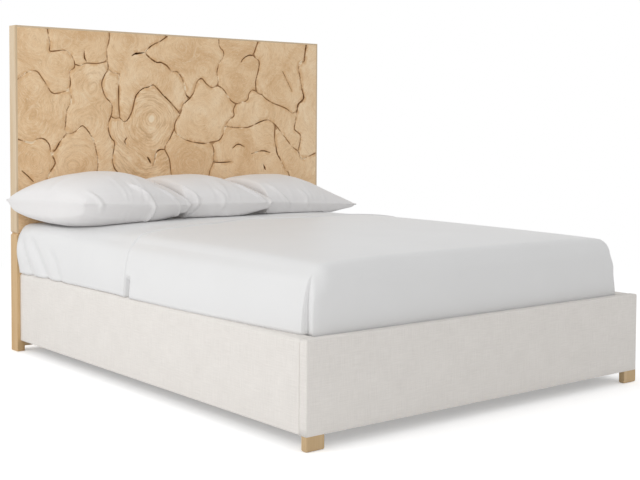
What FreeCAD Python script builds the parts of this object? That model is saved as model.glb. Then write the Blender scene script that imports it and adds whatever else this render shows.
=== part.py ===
"""Panel bed: slab-faced headboard, upholstered rails and footboard, slatted base, bedding.

Millimetres, +Z up. The origin lies on the floor at the middle of the bed, +Y points at
the headboard, and left is -X, as seen from the foot.
"""
import FreeCAD, Part
import math
import os

V = FreeCAD.Vector

# Mattress, which the frame is built round
mattress_width = 1524.0
mattress_length = 2032.0
mattress_height = 305.0
mattress_crown = 22.0
mattress_edge_radius = 55.0
mattress_end_radius = 45.0
mattress_side_gap = 18.0
mattress_head_gap = 6.0
mattress_foot_gap = 10.0
mattress_sink = 68.0

# Cloth and the air left round soft pieces
sheet_thickness = 1.5
soft_clearance = 0.3
sheet_hem_rise = 20.0

# Upholstered side rails
rail_thickness = 70.0
rail_height = 307.0
rail_board_thickness = 36.0
rail_padding = 15.0
cover_thickness = 2.0
rail_edge_radius = 16.0
inner_drop = 55.0

# Upholstered footboard
footboard_thickness = 42.0
footboard_padding = 10.0
footboard_back_padding = 2.0
footboard_edge_radius = 9.0
footboard_rail_clearance = 1.0

# Foot blocks
foot_block_width = 74.0
foot_block_depth = 26.0
foot_block_height = 49.0
foot_block_inset = 1.0
foot_block_chamfer = 3.0

# Headboard
headboard_depth = 64.0
headboard_height = 1470.0
headboard_overhang = 15.0
leg_width = 36.0
leg_height = 534.0
leg_notch = 8.0
top_board_height = 30.0
side_lip = 9.0
top_lip = 8.0
slab_thickness = 24.0
core_thickness = 18.0
back_panel_thickness = 12.0
lower_rail_floor_gap = 24.0

# Slab seams and cracks, as opening widths
hairline_width = 1.2
fine_seam_width = 2.4
open_seam_width = 4.0
gaping_seam_width = 7.0
crack_wobble_share = 0.25
crack_wobble_turn = 1.9
crack_tip_share = 0.15
curve_steps = 3

# Slatted base
slat_count = 9
slat_width = 140.0
slat_thickness = 19.0
slat_end_gap = 3.0
ledger_width = 30.0
ledger_height = 42.0
ledger_end_gap = 80.0
beam_width = 45.0
beam_height = 70.0
center_leg_width = 50.0
glide_height = 22.0
glide_disc_height = 9.0
glide_disc_radius = 24.0
glide_stem_radius = 5.0
glide_stem_length = 52.0
glide_running_gap = 0.05
glide_stem_headroom = 16.0

# Steel corner brackets, their bolts and the slat screws
bracket_flange = 58.0
bracket_steel = 4.0
bracket_height = 120.0
bracket_floor_gap = 96.0
bolt_radius = 4.0
bolt_head_radius = 8.0
bolt_head_height = 5.0
bolt_length = 26.0
bolt_hole_gap = 0.2
bolt_height_shares = (0.22, 0.78)
bolt_reach_share = 0.6
screw_radius = 2.2
screw_head_radius = 4.5
screw_head_height = 3.0
screw_sink = 0.5
screw_length = 46.0
screw_hole_gap = 0.2

# Pillows
pillow_depth = 478.0
pillow_rise = 132.0
pillow_fall = 80.0
pillow_wall_gap = 3.0
pillow_side_gap = 2.0
pillow_end_shares = (-0.555, -0.190, 0.112, 0.515)
pillow_station_shares = (0.0, 0.05, 0.22, 0.5, 0.78, 0.95, 1.0)
pillow_depth_shares = (1.0, 0.985, 0.96, 0.95, 0.96, 0.985, 1.0)
pillow_swell_shares = (0.05, 0.36, 0.82, 1.0, 0.82, 0.36, 0.05)

# Loose stretch of the fitted sheet at the head's left corner: its length, how far it
# stands out over the rail, and the folds along it as shares of those two.
loose_length = 830.0
loose_reach = 78.0
loose_turn_radius = 70.0
loose_station_shares = (0.0, 0.07, 0.13, 0.20, 0.27, 0.36, 0.60, 0.85, 1.0)
loose_reach_shares = (0.96, 0.82, 1.0, 0.84, 0.94, 0.80, 0.48, 0.16, 0.03)

# Head edge of the top sheet: shares across the bed from the left, and of the mattress
# length down from the head. Foot corners: how far the folded layer reaches and stands.
top_edge_shares = ((-0.03, 0.430), (0.0, 0.425), (0.035, 0.385), (0.11, 0.305), (0.26, 0.248),
                   (0.41, 0.240), (0.63, 0.270), (0.80, 0.330), (0.94, 0.385), (1.03, 0.400))
corner_fold_length = 62.0
corner_fold_height = 220.0

# One overrun serves every cut
overrun = 5.0

# Derived places
rail_outer_x = mattress_width / 2 + mattress_side_gap + rail_thickness
rail_inner_x = rail_outer_x - rail_thickness
head_outer_x = rail_outer_x + headboard_overhang
board_inner_x = rail_inner_x + cover_thickness + rail_padding
rail_bottom_z = foot_block_height
rail_top_z = rail_bottom_z + rail_height
slat_top_z = rail_top_z - mattress_sink
slat_bottom_z = slat_top_z - slat_thickness
overall_length = (headboard_depth + mattress_head_gap + mattress_length
                  + mattress_foot_gap + footboard_thickness)
head_back_y = overall_length / 2
head_front_y = head_back_y - headboard_depth
foot_front_y = -overall_length / 2
foot_back_y = foot_front_y + footboard_thickness
foot_board_back_y = foot_back_y - cover_thickness - footboard_back_padding
mattress_head_y = head_front_y - mattress_head_gap
mattress_foot_y = mattress_head_y - mattress_length
mattress_bottom_z = slat_top_z + soft_clearance
mattress_top_z = mattress_bottom_z + mattress_height
crown_radius = ((mattress_width / 2) ** 2 + mattress_crown ** 2) / (2 * mattress_crown)
fitted_grow = soft_clearance
fitted_outer = fitted_grow + sheet_thickness
top_grow = fitted_outer + soft_clearance
top_outer = top_grow + sheet_thickness
slab_left_x = -head_outer_x + side_lip
slab_width = 2 * (head_outer_x - side_lip)
seam_left_x = slab_left_x + headboard_overhang
seam_width = slab_width - headboard_overhang
slab_top_z = headboard_height - top_lip
slab_height = slab_top_z - leg_height
core_front_y = head_front_y + slab_thickness
core_back_y = core_front_y + core_thickness
rebate_y = (head_front_y - overrun, core_front_y)
inner_frame_x = head_outer_x - leg_width
top_board_z = headboard_height - top_board_height


def box(x_pair, y_pair, z_pair):
    """A box between two places on each axis."""
    low = V(min(x_pair), min(y_pair), min(z_pair))
    size = [abs(pair[1] - pair[0]) for pair in (x_pair, y_pair, z_pair)]
    return Part.makeBox(*size, low)


def arc(start, middle, end):
    """Edge along the circle through three points."""
    return Part.Arc(start, middle, end).toShape()


def save(node, shape):
    """Write one node and say what it holds."""
    shape.exportStep("parts/" + node + ".step")
    print(node, "solids", len(shape.Solids), "volume", round(shape.Volume), "valid", shape.isValid())


def mirrored(shape):
    """The same piece on the other side of the bed."""
    return shape.mirror(V(), V(1, 0, 0))


def save_pair(name, right_shape):
    """Write a right-hand piece and its left-hand mirror image."""
    save("right_" + name, right_shape)
    save("left_" + name, mirrored(right_shape))


def cut_all(shape, tools):
    """Cut several pieces away from one shape."""
    for tool in tools:
        shape = shape.cut(tool)
    return shape


def edges_at(shape, place, tolerance):
    """Edges whose two ends and middle all satisfy a place test."""
    found = []
    for edge in shape.Edges:
        middle = edge.valueAt((edge.FirstParameter + edge.LastParameter) / 2)
        points = [vertex.Point for vertex in edge.Vertexes] + [middle]
        if all(abs(place(point)) < tolerance for point in points):
            found.append(edge)
    return found


def rounded_top(x_pair, y_pair, z_pair, radius, sides):
    """A box whose top edges on the named sides are rounded."""
    shape = box(x_pair, y_pair, z_pair)
    top = max(z_pair)
    tests = {
        "x_low": lambda p: abs(p.x - min(x_pair)) + abs(p.z - top),
        "x_high": lambda p: abs(p.x - max(x_pair)) + abs(p.z - top),
        "y_low": lambda p: abs(p.y - min(y_pair)) + abs(p.z - top),
        "front_left": lambda p: abs(p.x - min(x_pair)) + abs(p.y - min(y_pair)),
        "front_right": lambda p: abs(p.x - max(x_pair)) + abs(p.y - min(y_pair)),
    }
    edges = []
    for side in sides:
        edges += edges_at(shape, tests[side], radius / 100)
    return shape.makeFillet(radius, edges)


# Headboard frame

def right_edge_board():
    """Side board above the leg, rebated so that the slabs lap onto it."""
    y_pair = (head_front_y, head_back_y)
    board = box((inner_frame_x, head_outer_x), y_pair, (leg_height, headboard_height))
    rebate_x = (inner_frame_x - overrun, head_outer_x - side_lip)
    board = board.cut(box(rebate_x, rebate_y, (leg_height - overrun, slab_top_z)))
    notch = edges_at(board, lambda p: abs(p.x - head_outer_x) + abs(p.z - leg_height), leg_notch / 100)
    return board.makeChamfer(leg_notch, notch)


def right_leg():
    """Headboard leg from the floor to the side board, chamfered at their joint."""
    leg = box((inner_frame_x, head_outer_x), (head_front_y, head_back_y), (0, leg_height))
    notch = edges_at(leg, lambda p: abs(p.x - head_outer_x) + abs(p.z - leg_height), leg_notch / 100)
    return leg.makeChamfer(leg_notch, notch)


def top_edge_board():
    """Top board between the side boards, with the same rebate for the slabs."""
    x_pair = (-inner_frame_x, inner_frame_x)
    board = box(x_pair, (head_front_y, head_back_y), (top_board_z, headboard_height))
    rebate_x = (-head_outer_x, head_outer_x)
    return board.cut(box(rebate_x, rebate_y, (top_board_z - overrun, slab_top_z)))


def headboard_panels():
    """Core behind the slabs, lower rail between the legs, and back panel."""
    x_pair = (-inner_frame_x, inner_frame_x)
    core = box(x_pair, (core_front_y, core_back_y), (leg_height, top_board_z))
    lower = box(x_pair, (head_front_y, core_back_y), (lower_rail_floor_gap, leg_height))
    lower = cut_all(lower, head_bolt_holes())
    back_y = (head_back_y - back_panel_thickness, head_back_y)
    back = box(x_pair, back_y, (lower_rail_floor_gap, top_board_z))
    return {"headboard_core": core, "headboard_lower_rail": lower, "headboard_back_panel": back}


# Headboard slabs: seams run right through, cracks stop inside one slab.
# Points are shares of the slab face, across from the left and down from the top.
seam_shares = {
    "oval_top": (hairline_width, [
        (-0.01, 0.255), (0.015, 0.221), (0.028, 0.210), (0.047, 0.210), (0.060, 0.237),
        (0.075, 0.275), (0.090, 0.313), (0.112, 0.313), (0.142, 0.296)]),
    "left_upright": (fine_seam_width, [
        (0.076, -0.01), (0.082, 0.040), (0.086, 0.075), (0.084, 0.108), (0.105, 0.106),
        (0.133, 0.102), (0.150, 0.130), (0.158, 0.167), (0.155, 0.189), (0.143, 0.205),
        (0.145, 0.259), (0.142, 0.296), (0.146, 0.323), (0.147, 0.356), (0.135, 0.393),
        (0.132, 0.420), (0.130, 0.463), (0.128, 0.496), (0.133, 0.513)]),
    "oval_bottom": (fine_seam_width, [
        (-0.01, 0.540), (0.030, 0.560), (0.040, 0.546), (0.055, 0.537), (0.070, 0.544),
        (0.082, 0.571), (0.085, 0.603), (0.090, 0.614)]),
    "root_left": (open_seam_width, [
        (0.133, 0.513), (0.115, 0.550), (0.100, 0.593), (0.090, 0.614), (0.097, 0.647),
        (0.097, 0.668), (0.080, 0.717), (0.070, 0.800), (0.085, 0.900), (0.080, 1.010)]),
    "root_right": (fine_seam_width, [
        (0.133, 0.513), (0.155, 0.509), (0.172, 0.482), (0.183, 0.476), (0.200, 0.507),
        (0.215, 0.550), (0.220, 0.587), (0.228, 0.660), (0.220, 0.760), (0.235, 0.880),
        (0.230, 1.010)]),
    "block_top": (hairline_width, [
        (0.158, 0.167), (0.175, 0.174), (0.193, 0.160), (0.225, 0.160), (0.258, 0.146)]),
    "block_right": (fine_seam_width, [
        (0.262, -0.01), (0.264, 0.032), (0.256, 0.090), (0.258, 0.146), (0.260, 0.183),
        (0.248, 0.220), (0.240, 0.259), (0.245, 0.302), (0.255, 0.334), (0.270, 0.361),
        (0.272, 0.399), (0.268, 0.426), (0.260, 0.463), (0.262, 0.507), (0.270, 0.539),
        (0.280, 0.561), (0.275, 0.614), (0.273, 0.658), (0.280, 0.695), (0.292, 0.728),
        (0.300, 0.850), (0.290, 1.010)]),
    "strip_top": (fine_seam_width, [(0.260, 0.183), (0.275, 0.203), (0.296, 0.205)]),
    "strip_right": (open_seam_width, [
        (0.296, 0.205), (0.293, 0.270), (0.293, 0.366), (0.296, 0.431)]),
    "strip_bottom": (hairline_width, [(0.268, 0.426), (0.282, 0.436), (0.296, 0.431)]),
    "tongue_tip": (open_seam_width, [
        (0.296, 0.431), (0.310, 0.453), (0.322, 0.440), (0.335, 0.399), (0.343, 0.345),
        (0.350, 0.313), (0.370, 0.280), (0.390, 0.270), (0.405, 0.259), (0.420, 0.280),
        (0.435, 0.307), (0.460, 0.345), (0.485, 0.390), (0.495, 0.410)]),
    "top_middle_left": (open_seam_width, [
        (0.458, -0.01), (0.430, 0.027), (0.400, 0.054), (0.380, 0.092), (0.395, 0.120),
        (0.415, 0.140), (0.430, 0.140), (0.450, 0.156), (0.465, 0.183), (0.485, 0.186),
        (0.500, 0.216), (0.510, 0.259), (0.515, 0.307), (0.528, 0.323)]),
    "round_loop": (fine_seam_width, [
        (0.528, 0.323), (0.540, 0.296), (0.550, 0.248), (0.557, 0.226), (0.570, 0.216),
        (0.585, 0.243), (0.605, 0.264), (0.625, 0.253), (0.645, 0.270), (0.660, 0.302),
        (0.675, 0.334), (0.690, 0.350), (0.682, 0.383), (0.685, 0.415), (0.665, 0.442),
        (0.652, 0.474), (0.645, 0.517), (0.630, 0.550), (0.600, 0.560), (0.570, 0.566),
        (0.520, 0.550), (0.485, 0.517), (0.475, 0.485), (0.480, 0.447), (0.495, 0.410),
        (0.502, 0.366), (0.510, 0.350), (0.528, 0.323)]),
    "top_middle_right": (fine_seam_width, [
        (0.628, -0.01), (0.632, 0.038), (0.646, 0.065), (0.645, 0.097), (0.632, 0.129),
        (0.623, 0.178), (0.628, 0.220), (0.625, 0.253)]),
    "arch_right": (open_seam_width, [
        (0.775, -0.01), (0.764, 0.040), (0.758, 0.079), (0.775, 0.102), (0.778, 0.129),
        (0.773, 0.172), (0.767, 0.205), (0.765, 0.237), (0.770, 0.280), (0.790, 0.296)]),
    "arch_bottom": (hairline_width, [
        (0.770, 0.280), (0.753, 0.270), (0.740, 0.291), (0.735, 0.325), (0.710, 0.342),
        (0.690, 0.350)]),
    "wave_top": (fine_seam_width, [
        (0.790, 0.296), (0.805, 0.318), (0.830, 0.340), (0.860, 0.356), (0.885, 0.372),
        (0.905, 0.395), (0.925, 0.388)]),
    "right_upright": (gaping_seam_width, [
        (0.962, -0.01), (0.955, 0.060), (0.952, 0.097), (0.940, 0.102), (0.930, 0.129),
        (0.935, 0.172), (0.940, 0.216), (0.945, 0.259), (0.952, 0.302), (0.945, 0.323),
        (0.930, 0.345), (0.925, 0.388)]),
    "right_lower_upright": (fine_seam_width, [
        (0.925, 0.388), (0.920, 0.440), (0.915, 0.485), (0.925, 0.501), (0.940, 0.523),
        (0.938, 0.560), (0.930, 0.614)]),
    "wave_bottom": (fine_seam_width, [
        (0.652, 0.474), (0.700, 0.480), (0.735, 0.478), (0.760, 0.463), (0.790, 0.442),
        (0.815, 0.437), (0.840, 0.463), (0.870, 0.517), (0.895, 0.566), (0.915, 0.598),
        (0.930, 0.614), (0.940, 0.647), (0.950, 0.660), (0.970, 0.647), (1.010, 0.618)]),
    "lower_right_upright": (open_seam_width, [
        (0.840, 0.463), (0.838, 0.500), (0.838, 0.550), (0.843, 0.582), (0.848, 0.625),
        (0.860, 0.658), (0.880, 0.717), (0.895, 0.750), (0.905, 0.870), (0.900, 1.010)]),
    "lower_middle_left": (fine_seam_width, [
        (0.475, 0.485), (0.460, 0.539), (0.447, 0.571), (0.443, 0.598), (0.455, 0.636),
        (0.460, 0.668), (0.462, 0.706), (0.470, 0.800), (0.460, 0.900), (0.465, 1.010)]),
    "lower_middle_right": (fine_seam_width, [
        (0.600, 0.560), (0.612, 0.600), (0.610, 0.668), (0.595, 0.740), (0.600, 0.860),
        (0.610, 1.010)]),
}

crack_shares = {
    "check_upper_left": (open_seam_width, [(0.187, 0.097), (0.187, 0.129), (0.193, 0.151)]),
    "check_burl": (gaping_seam_width, [(0.335, 0.113), (0.345, 0.102), (0.360, 0.097), (0.380, 0.092)]),
    "check_round_foot": (gaping_seam_width, [(0.385, 0.636), (0.391, 0.652), (0.398, 0.674)]),
    "check_round_hook": (open_seam_width, [
        (0.443, 0.598), (0.425, 0.598), (0.412, 0.620), (0.410, 0.652), (0.402, 0.685)]),
    "check_lower_hump": (fine_seam_width, [(0.680, 0.593), (0.700, 0.571), (0.725, 0.587)]),
    "check_lower_wave": (fine_seam_width, [(0.750, 0.625), (0.790, 0.609), (0.820, 0.620)]),
    "check_lower_dash": (fine_seam_width, [(0.611, 0.668), (0.640, 0.671), (0.675, 0.668)]),
    "check_lower_tick": (gaping_seam_width, [(0.795, 0.685), (0.799, 0.700), (0.803, 0.717)]),
    "check_left_foot": (fine_seam_width, [(0.003, 0.695), (0.020, 0.722), (0.035, 0.749)]),
    "check_arch_left": (open_seam_width, [
        (0.710, 0.119), (0.720, 0.097), (0.740, 0.078), (0.758, 0.079)]),
    "check_top_right": (hairline_width, [(0.868, 0.160), (0.885, 0.210), (0.905, 0.270)]),
    "check_root": (open_seam_width, [(0.318, 0.535), (0.312, 0.552), (0.316, 0.572)]),
}

# A point inside each slab
slab_label_shares = {
    "slab_top_left": (0.040, 0.100),
    "slab_upper_left": (0.170, 0.070),
    "slab_left_oval": (0.070, 0.420),
    "slab_lower_left": (0.040, 0.800),
    "slab_left_root": (0.160, 0.700),
    "slab_left_block": (0.200, 0.330),
    "slab_narrow_strip": (0.280, 0.320),
    "slab_big_round": (0.380, 0.450),
    "slab_tongue": (0.340, 0.150),
    "slab_top_middle": (0.560, 0.100),
    "slab_middle_round": (0.580, 0.400),
    "slab_arch": (0.700, 0.150),
    "slab_top_right": (0.850, 0.180),
    "slab_right_column": (0.970, 0.400),
    "slab_right_wave": (0.800, 0.380),
    "slab_lower_right_middle": (0.720, 0.750),
    "slab_lower_right": (0.950, 0.800),
    "slab_lower_middle": (0.530, 0.750),
}


def on_face(share):
    """A point on the slab face from its two shares."""
    return V(seam_left_x + share[0] * seam_width, head_front_y, slab_top_z - share[1] * slab_height)


def smooth_line(points):
    """Points of a smooth curve through the given ones (Catmull-Rom)."""
    ends = [points[0] * 2 - points[1]] + points + [points[-1] * 2 - points[-2]]
    line = []
    for p0, p1, p2, p3 in zip(ends, ends[1:], ends[2:], ends[3:]):
        for step in range(curve_steps):
            t = step / curve_steps
            line.append((p1 * 2 + (p2 - p0) * t + (p0 * 2 - p1 * 5 + p2 * 4 - p3) * t ** 2
                         + (p1 * 3 - p0 - p2 * 3 + p3) * t ** 3) * 0.5)
    return line + [points[-1]]


def ribbon(shares, width, pointed):
    """Flat face along a curve, with an uneven width; pointed ends close to a tip."""
    line = smooth_line([on_face(share) for share in shares])
    left = []
    right = []
    last = len(line) - 1
    for index, point in enumerate(line):
        along = line[min(index + 1, last)] - line[max(index - 1, 0)]
        across = V(-along.z, 0, along.x).normalize()
        half = width / 2 * (1 + crack_wobble_share * math.sin(index * crack_wobble_turn))
        if pointed:
            half *= crack_tip_share + (1 - crack_tip_share) * math.sin(math.pi * index / last)
        left.append(point + across * half)
        right.append(point - across * half)
    outline = left + right[::-1]
    return Part.Face(Part.makePolygon(outline + outline[:1]))


def headboard_slabs():
    """Cut the slab face along its seams and cracks, and give the pieces their thickness."""
    slab_right_x = slab_left_x + slab_width
    corners = [V(slab_left_x, head_front_y, leg_height), V(slab_right_x, head_front_y, leg_height),
               V(slab_right_x, head_front_y, slab_top_z), V(slab_left_x, head_front_y, slab_top_z)]
    face = Part.Face(Part.makePolygon(corners + corners[:1]))
    gaps = [ribbon(shares, width, False) for width, shares in seam_shares.values()]
    gaps += [ribbon(shares, width, True) for width, shares in crack_shares.values()]
    pieces = face.cut(gaps).Faces
    slabs = {}
    for node, share in slab_label_shares.items():
        label = on_face(share)
        for piece in pieces:
            if piece.isInside(label, hairline_width / 10, True):
                slabs[node] = piece.extrude(V(0, slab_thickness, 0))
    return slabs


# Upholstered rails

def rail_wrap(inset, bottom_z):
    """Space inside the cover of the right rail, or the cover's own outside."""
    x_pair = (rail_inner_x + inset, rail_outer_x - inset)
    y_pair = (foot_board_back_y, head_front_y)
    return rounded_top(x_pair, y_pair, (bottom_z, rail_top_z - inset), rail_edge_radius - inset,
                       ("x_low", "x_high"))


def right_rail():
    """Board, padding and cover of the right rail; its lower inner face is bare board."""
    y_pair = (foot_board_back_y, head_front_y)
    board_z = (rail_bottom_z + cover_thickness, rail_top_z - cover_thickness - rail_padding)
    board = box((board_inner_x, board_inner_x + rail_board_thickness), y_pair, board_z)
    bare = box((rail_inner_x - overrun, board_inner_x), (foot_front_y, head_back_y),
               (rail_bottom_z - overrun, rail_top_z - inner_drop))
    inside = rail_wrap(cover_thickness, rail_bottom_z + cover_thickness)
    cover = rail_wrap(0, rail_bottom_z).cut(inside).cut(bare)
    padding = inside.cut(board).cut(bare)
    board = cut_all(board, rail_bolt_holes())
    return {"rail_board": board, "rail_padding": padding, "rail_cover": cover}


def right_ledger():
    """Ledger strip on the rail board that carries the slat ends."""
    y_pair = (foot_board_back_y + ledger_end_gap, head_front_y - ledger_end_gap)
    strip = box((board_inner_x - ledger_width, board_inner_x), y_pair,
                (slat_bottom_z - ledger_height, slat_bottom_z))
    return cut_all(strip, [screw_hole(x, y) for x, y in screw_places() if x > 0])


# Upholstered footboard

def footboard_wrap(inset, bottom_z):
    """Space inside the footboard cover, or the cover's own outside."""
    x_pair = (-rail_outer_x + inset, rail_outer_x - inset)
    y_pair = (foot_front_y + inset, foot_board_back_y)
    sides = ("x_low", "x_high", "y_low", "front_left", "front_right")
    return rounded_top(x_pair, y_pair, (bottom_z, rail_top_z - inset), footboard_edge_radius - inset, sides)


def footboard():
    """Board, padding and cover; padding and cover drop a little way down the back."""
    board_x = rail_outer_x - cover_thickness - footboard_padding
    board_y = (foot_front_y + cover_thickness + footboard_padding, foot_board_back_y)
    board_z = (rail_bottom_z + cover_thickness, rail_top_z - cover_thickness - footboard_padding)
    board = box((-board_x, board_x), board_y, board_z)
    inside = footboard_wrap(cover_thickness, rail_bottom_z + cover_thickness)
    drop_x = rail_inner_x - footboard_rail_clearance
    drop_z = (rail_top_z - inner_drop, rail_top_z)
    pad_back_y = foot_board_back_y + footboard_back_padding
    pad_drop = box((-drop_x, drop_x), (foot_board_back_y, pad_back_y),
                   (drop_z[0], rail_top_z - cover_thickness))
    cover_drop = box((-drop_x, drop_x), (foot_board_back_y, foot_back_y), drop_z).cut(pad_drop)
    cover = footboard_wrap(0, rail_bottom_z).cut(inside).fuse(cover_drop).removeSplitter()
    padding = inside.cut(board).fuse(pad_drop).removeSplitter()
    board = cut_all(board, foot_bolt_holes())
    return {"footboard_board": board, "footboard_padding": padding, "footboard_cover": cover}


def right_foot_block():
    """Square wooden block under the foot corner, eased along its bottom edges."""
    x_high = rail_outer_x - foot_block_inset
    y_low = foot_front_y + foot_block_inset
    x_pair = (x_high - foot_block_width, x_high)
    block = box(x_pair, (y_low, y_low + foot_block_depth), (0, foot_block_height))
    return block.makeChamfer(foot_block_chamfer, edges_at(block, lambda p: p.z, foot_block_chamfer / 100))


# Corner brackets and bolts

def bracket_corner(head):
    """Inner corner of a right bracket: on the rail board and on the headboard or footboard."""
    y = head_front_y if head else foot_board_back_y
    return V(board_inner_x, y, bracket_floor_gap)


def right_bracket(head):
    """Steel angle with a flange on the rail board and one on the end board."""
    corner = bracket_corner(head)
    into = -1 if head else 1
    z_pair = (corner.z, corner.z + bracket_height)
    on_rail = box((corner.x - bracket_steel, corner.x), (corner.y, corner.y + into * bracket_flange), z_pair)
    on_end = box((corner.x - bracket_flange, corner.x), (corner.y, corner.y + into * bracket_steel), z_pair)
    return cut_all(on_rail.fuse(on_end).removeSplitter(), bolt_holes(head, True) + bolt_holes(head, False))


def bolt_axis(head, on_rail, height_share):
    """Start of a bolt at the board's face, and the way it points into the board."""
    corner = bracket_corner(head)
    into = -1 if head else 1
    z = corner.z + height_share * bracket_height
    reach = bolt_reach_share * bracket_flange
    if on_rail:
        return V(corner.x, corner.y + into * reach, z), V(1, 0, 0)
    return V(corner.x - reach, corner.y, z), V(0, -into, 0)


def bolt(head, on_rail, height_share):
    """Bolt with its head on the bracket and its shank in the board."""
    face, way = bolt_axis(head, on_rail, height_share)
    seat = face - way * bracket_steel
    shank = Part.makeCylinder(bolt_radius, bolt_length, seat, way)
    cap = Part.makeCylinder(bolt_head_radius, bolt_head_height, seat - way * bolt_head_height, way)
    return shank.fuse(cap).removeSplitter()


def bolt_holes(head, on_rail):
    """Clearance holes for one flange of one bracket."""
    holes = []
    for height_share in bolt_height_shares:
        face, way = bolt_axis(head, on_rail, height_share)
        start = face - way * (bracket_steel + overrun)
        length = overrun + bolt_length + overrun
        holes.append(Part.makeCylinder(bolt_radius + bolt_hole_gap, length, start, way))
    return holes


def rail_bolt_holes():
    """Holes in the right rail board, at both its ends."""
    return bolt_holes(True, True) + bolt_holes(False, True)


def head_bolt_holes():
    """Holes in the headboard's lower rail, on both sides."""
    holes = bolt_holes(True, False)
    return holes + [mirrored(hole) for hole in holes]


def foot_bolt_holes():
    """Holes in the footboard board, on both sides."""
    holes = bolt_holes(False, False)
    return holes + [mirrored(hole) for hole in holes]


def corner_brackets():
    """All four brackets."""
    right = [right_bracket(True), right_bracket(False)]
    return Part.makeCompound(right + [mirrored(bracket) for bracket in right])


def bracket_bolts():
    """All the bolts of the four brackets."""
    right = []
    for head in (True, False):
        for on_rail in (True, False):
            right += [bolt(head, on_rail, share) for share in bolt_height_shares]
    return Part.makeCompound(right + [mirrored(one) for one in right])


# Slatted base

def slat_middles():
    """Places of the slats along the bed, from the head to the foot."""
    pitch = mattress_length / slat_count
    return [mattress_head_y - pitch * (index + 0.5) for index in range(slat_count)]


def screw_places():
    """One screw at each slat end, over the middle of the ledger."""
    x = board_inner_x - ledger_width / 2
    return [(side * x, y) for y in slat_middles() for side in (-1, 1)]


def screw(x, y):
    """Slat screw with its head sunk just below the slat's top face."""
    head_z = slat_top_z - screw_sink - screw_head_height
    head = Part.makeCylinder(screw_head_radius, screw_head_height, V(x, y, head_z))
    shank = Part.makeCylinder(screw_radius, screw_length, V(x, y, head_z - screw_length))
    return head.fuse(shank).removeSplitter()


def screw_hole(x, y):
    """Stepped clearance hole for one screw."""
    head_z = slat_top_z - screw_sink - screw_head_height
    wide = Part.makeCylinder(screw_head_radius + screw_hole_gap, screw_head_height + screw_sink + overrun,
                             V(x, y, head_z))
    deep = screw_length + screw_hole_gap
    narrow = Part.makeCylinder(screw_radius + screw_hole_gap, deep, V(x, y, head_z - deep))
    return wide.fuse(narrow)


def slat(y):
    """One slat from rail to rail."""
    x = board_inner_x - slat_end_gap
    board = box((-x, x), (y - slat_width / 2, y + slat_width / 2), (slat_bottom_z, slat_top_z))
    return cut_all(board, [screw_hole(*place) for place in screw_places() if place[1] == y])


def center_support():
    """Beam under the slats, its leg, and the levelling foot screwed into the leg."""
    beam_z = slat_bottom_z - beam_height
    beam = box((-beam_width / 2, beam_width / 2), (foot_board_back_y, head_front_y), (beam_z, slat_bottom_z))
    middle_y = (foot_board_back_y + head_front_y) / 2
    half = center_leg_width / 2
    leg = box((-half, half), (middle_y - half, middle_y + half), (glide_height, beam_z))
    bore_depth = glide_disc_height + glide_stem_length + glide_stem_headroom - glide_height
    leg = leg.cut(Part.makeCylinder(glide_stem_radius + glide_running_gap, bore_depth,
                                    V(0, middle_y, glide_height)))
    disc = Part.makeCylinder(glide_disc_radius, glide_disc_height, V(0, middle_y, 0))
    stem = Part.makeCylinder(glide_stem_radius, glide_stem_length, V(0, middle_y, glide_disc_height))
    return {"center_beam": beam, "center_leg": leg, "leveling_foot": disc.fuse(stem).removeSplitter()}


# Bedding

def mattress_form(grow):
    """Crowned mattress shape, swollen on every side by a small amount."""
    half = mattress_width / 2 + grow
    corner = mattress_edge_radius + grow
    crown = crown_radius + grow
    crown_z = mattress_top_z - crown_radius
    shoulder_x = half - corner
    shoulder_z = crown_z + math.sqrt((crown - corner) ** 2 - shoulder_x ** 2)
    tilt = math.atan2(shoulder_x, shoulder_z - crown_z)
    low = mattress_bottom_z - grow
    y = mattress_foot_y - grow

    def at(x, z):
        return V(x, y, z)

    def round_point(side, angle):
        return at(side * (shoulder_x + corner * math.sin(angle)), shoulder_z + corner * math.cos(angle))

    def low_point(side, angle):
        return at(side * (shoulder_x + corner * math.cos(angle)), low + corner - corner * math.sin(angle))

    mid_tilt = (tilt + math.pi / 2) / 2
    edges = [Part.makeLine(low_point(-1, math.pi / 2), low_point(1, math.pi / 2))]
    for side in (1, -1):
        edges.append(arc(low_point(side, math.pi / 2), low_point(side, math.pi / 4), low_point(side, 0)))
        edges.append(Part.makeLine(low_point(side, 0), round_point(side, math.pi / 2)))
        edges.append(arc(*(round_point(side, angle) for angle in (math.pi / 2, mid_tilt, tilt))))
    edges.append(arc(round_point(1, tilt), at(0, crown_z + crown), round_point(-1, tilt)))
    profile = Part.Face(Part.Wire(Part.__sortEdges__(edges)))
    length = mattress_length + 2 * grow
    form = profile.extrude(V(0, length, 0))
    ends = edges_at(form, lambda p: p.y - y, soft_clearance / 10)
    ends += edges_at(form, lambda p: p.y - y - length, soft_clearance / 10)
    return form.makeFillet(mattress_end_radius + grow, ends)


def crown_top(x):
    """Height of the fitted sheet over the mattress at a place across the bed."""
    outer = crown_radius + fitted_outer
    return mattress_top_z - crown_radius + math.sqrt(outer ** 2 - x ** 2)


def above_hem():
    """Space above the sheet hems."""
    return box((-rail_outer_x, rail_outer_x), (foot_front_y, head_back_y),
               (slat_top_z + sheet_hem_rise, headboard_height))


def under_top_sheet(lead):
    """Space that the top sheet lies over, its head edge moved up the bed by a lead."""
    edge = [V((across - 0.5) * mattress_width, mattress_head_y - down * mattress_length + lead, slat_top_z)
            for across, down in top_edge_shares]
    foot = [V(edge[-1].x, foot_front_y, slat_top_z), V(edge[0].x, foot_front_y, slat_top_z)]
    plan = Part.Face(Part.makePolygon(edge + foot + edge[:1]))
    return plan.extrude(V(0, 0, headboard_height - slat_top_z))


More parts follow.
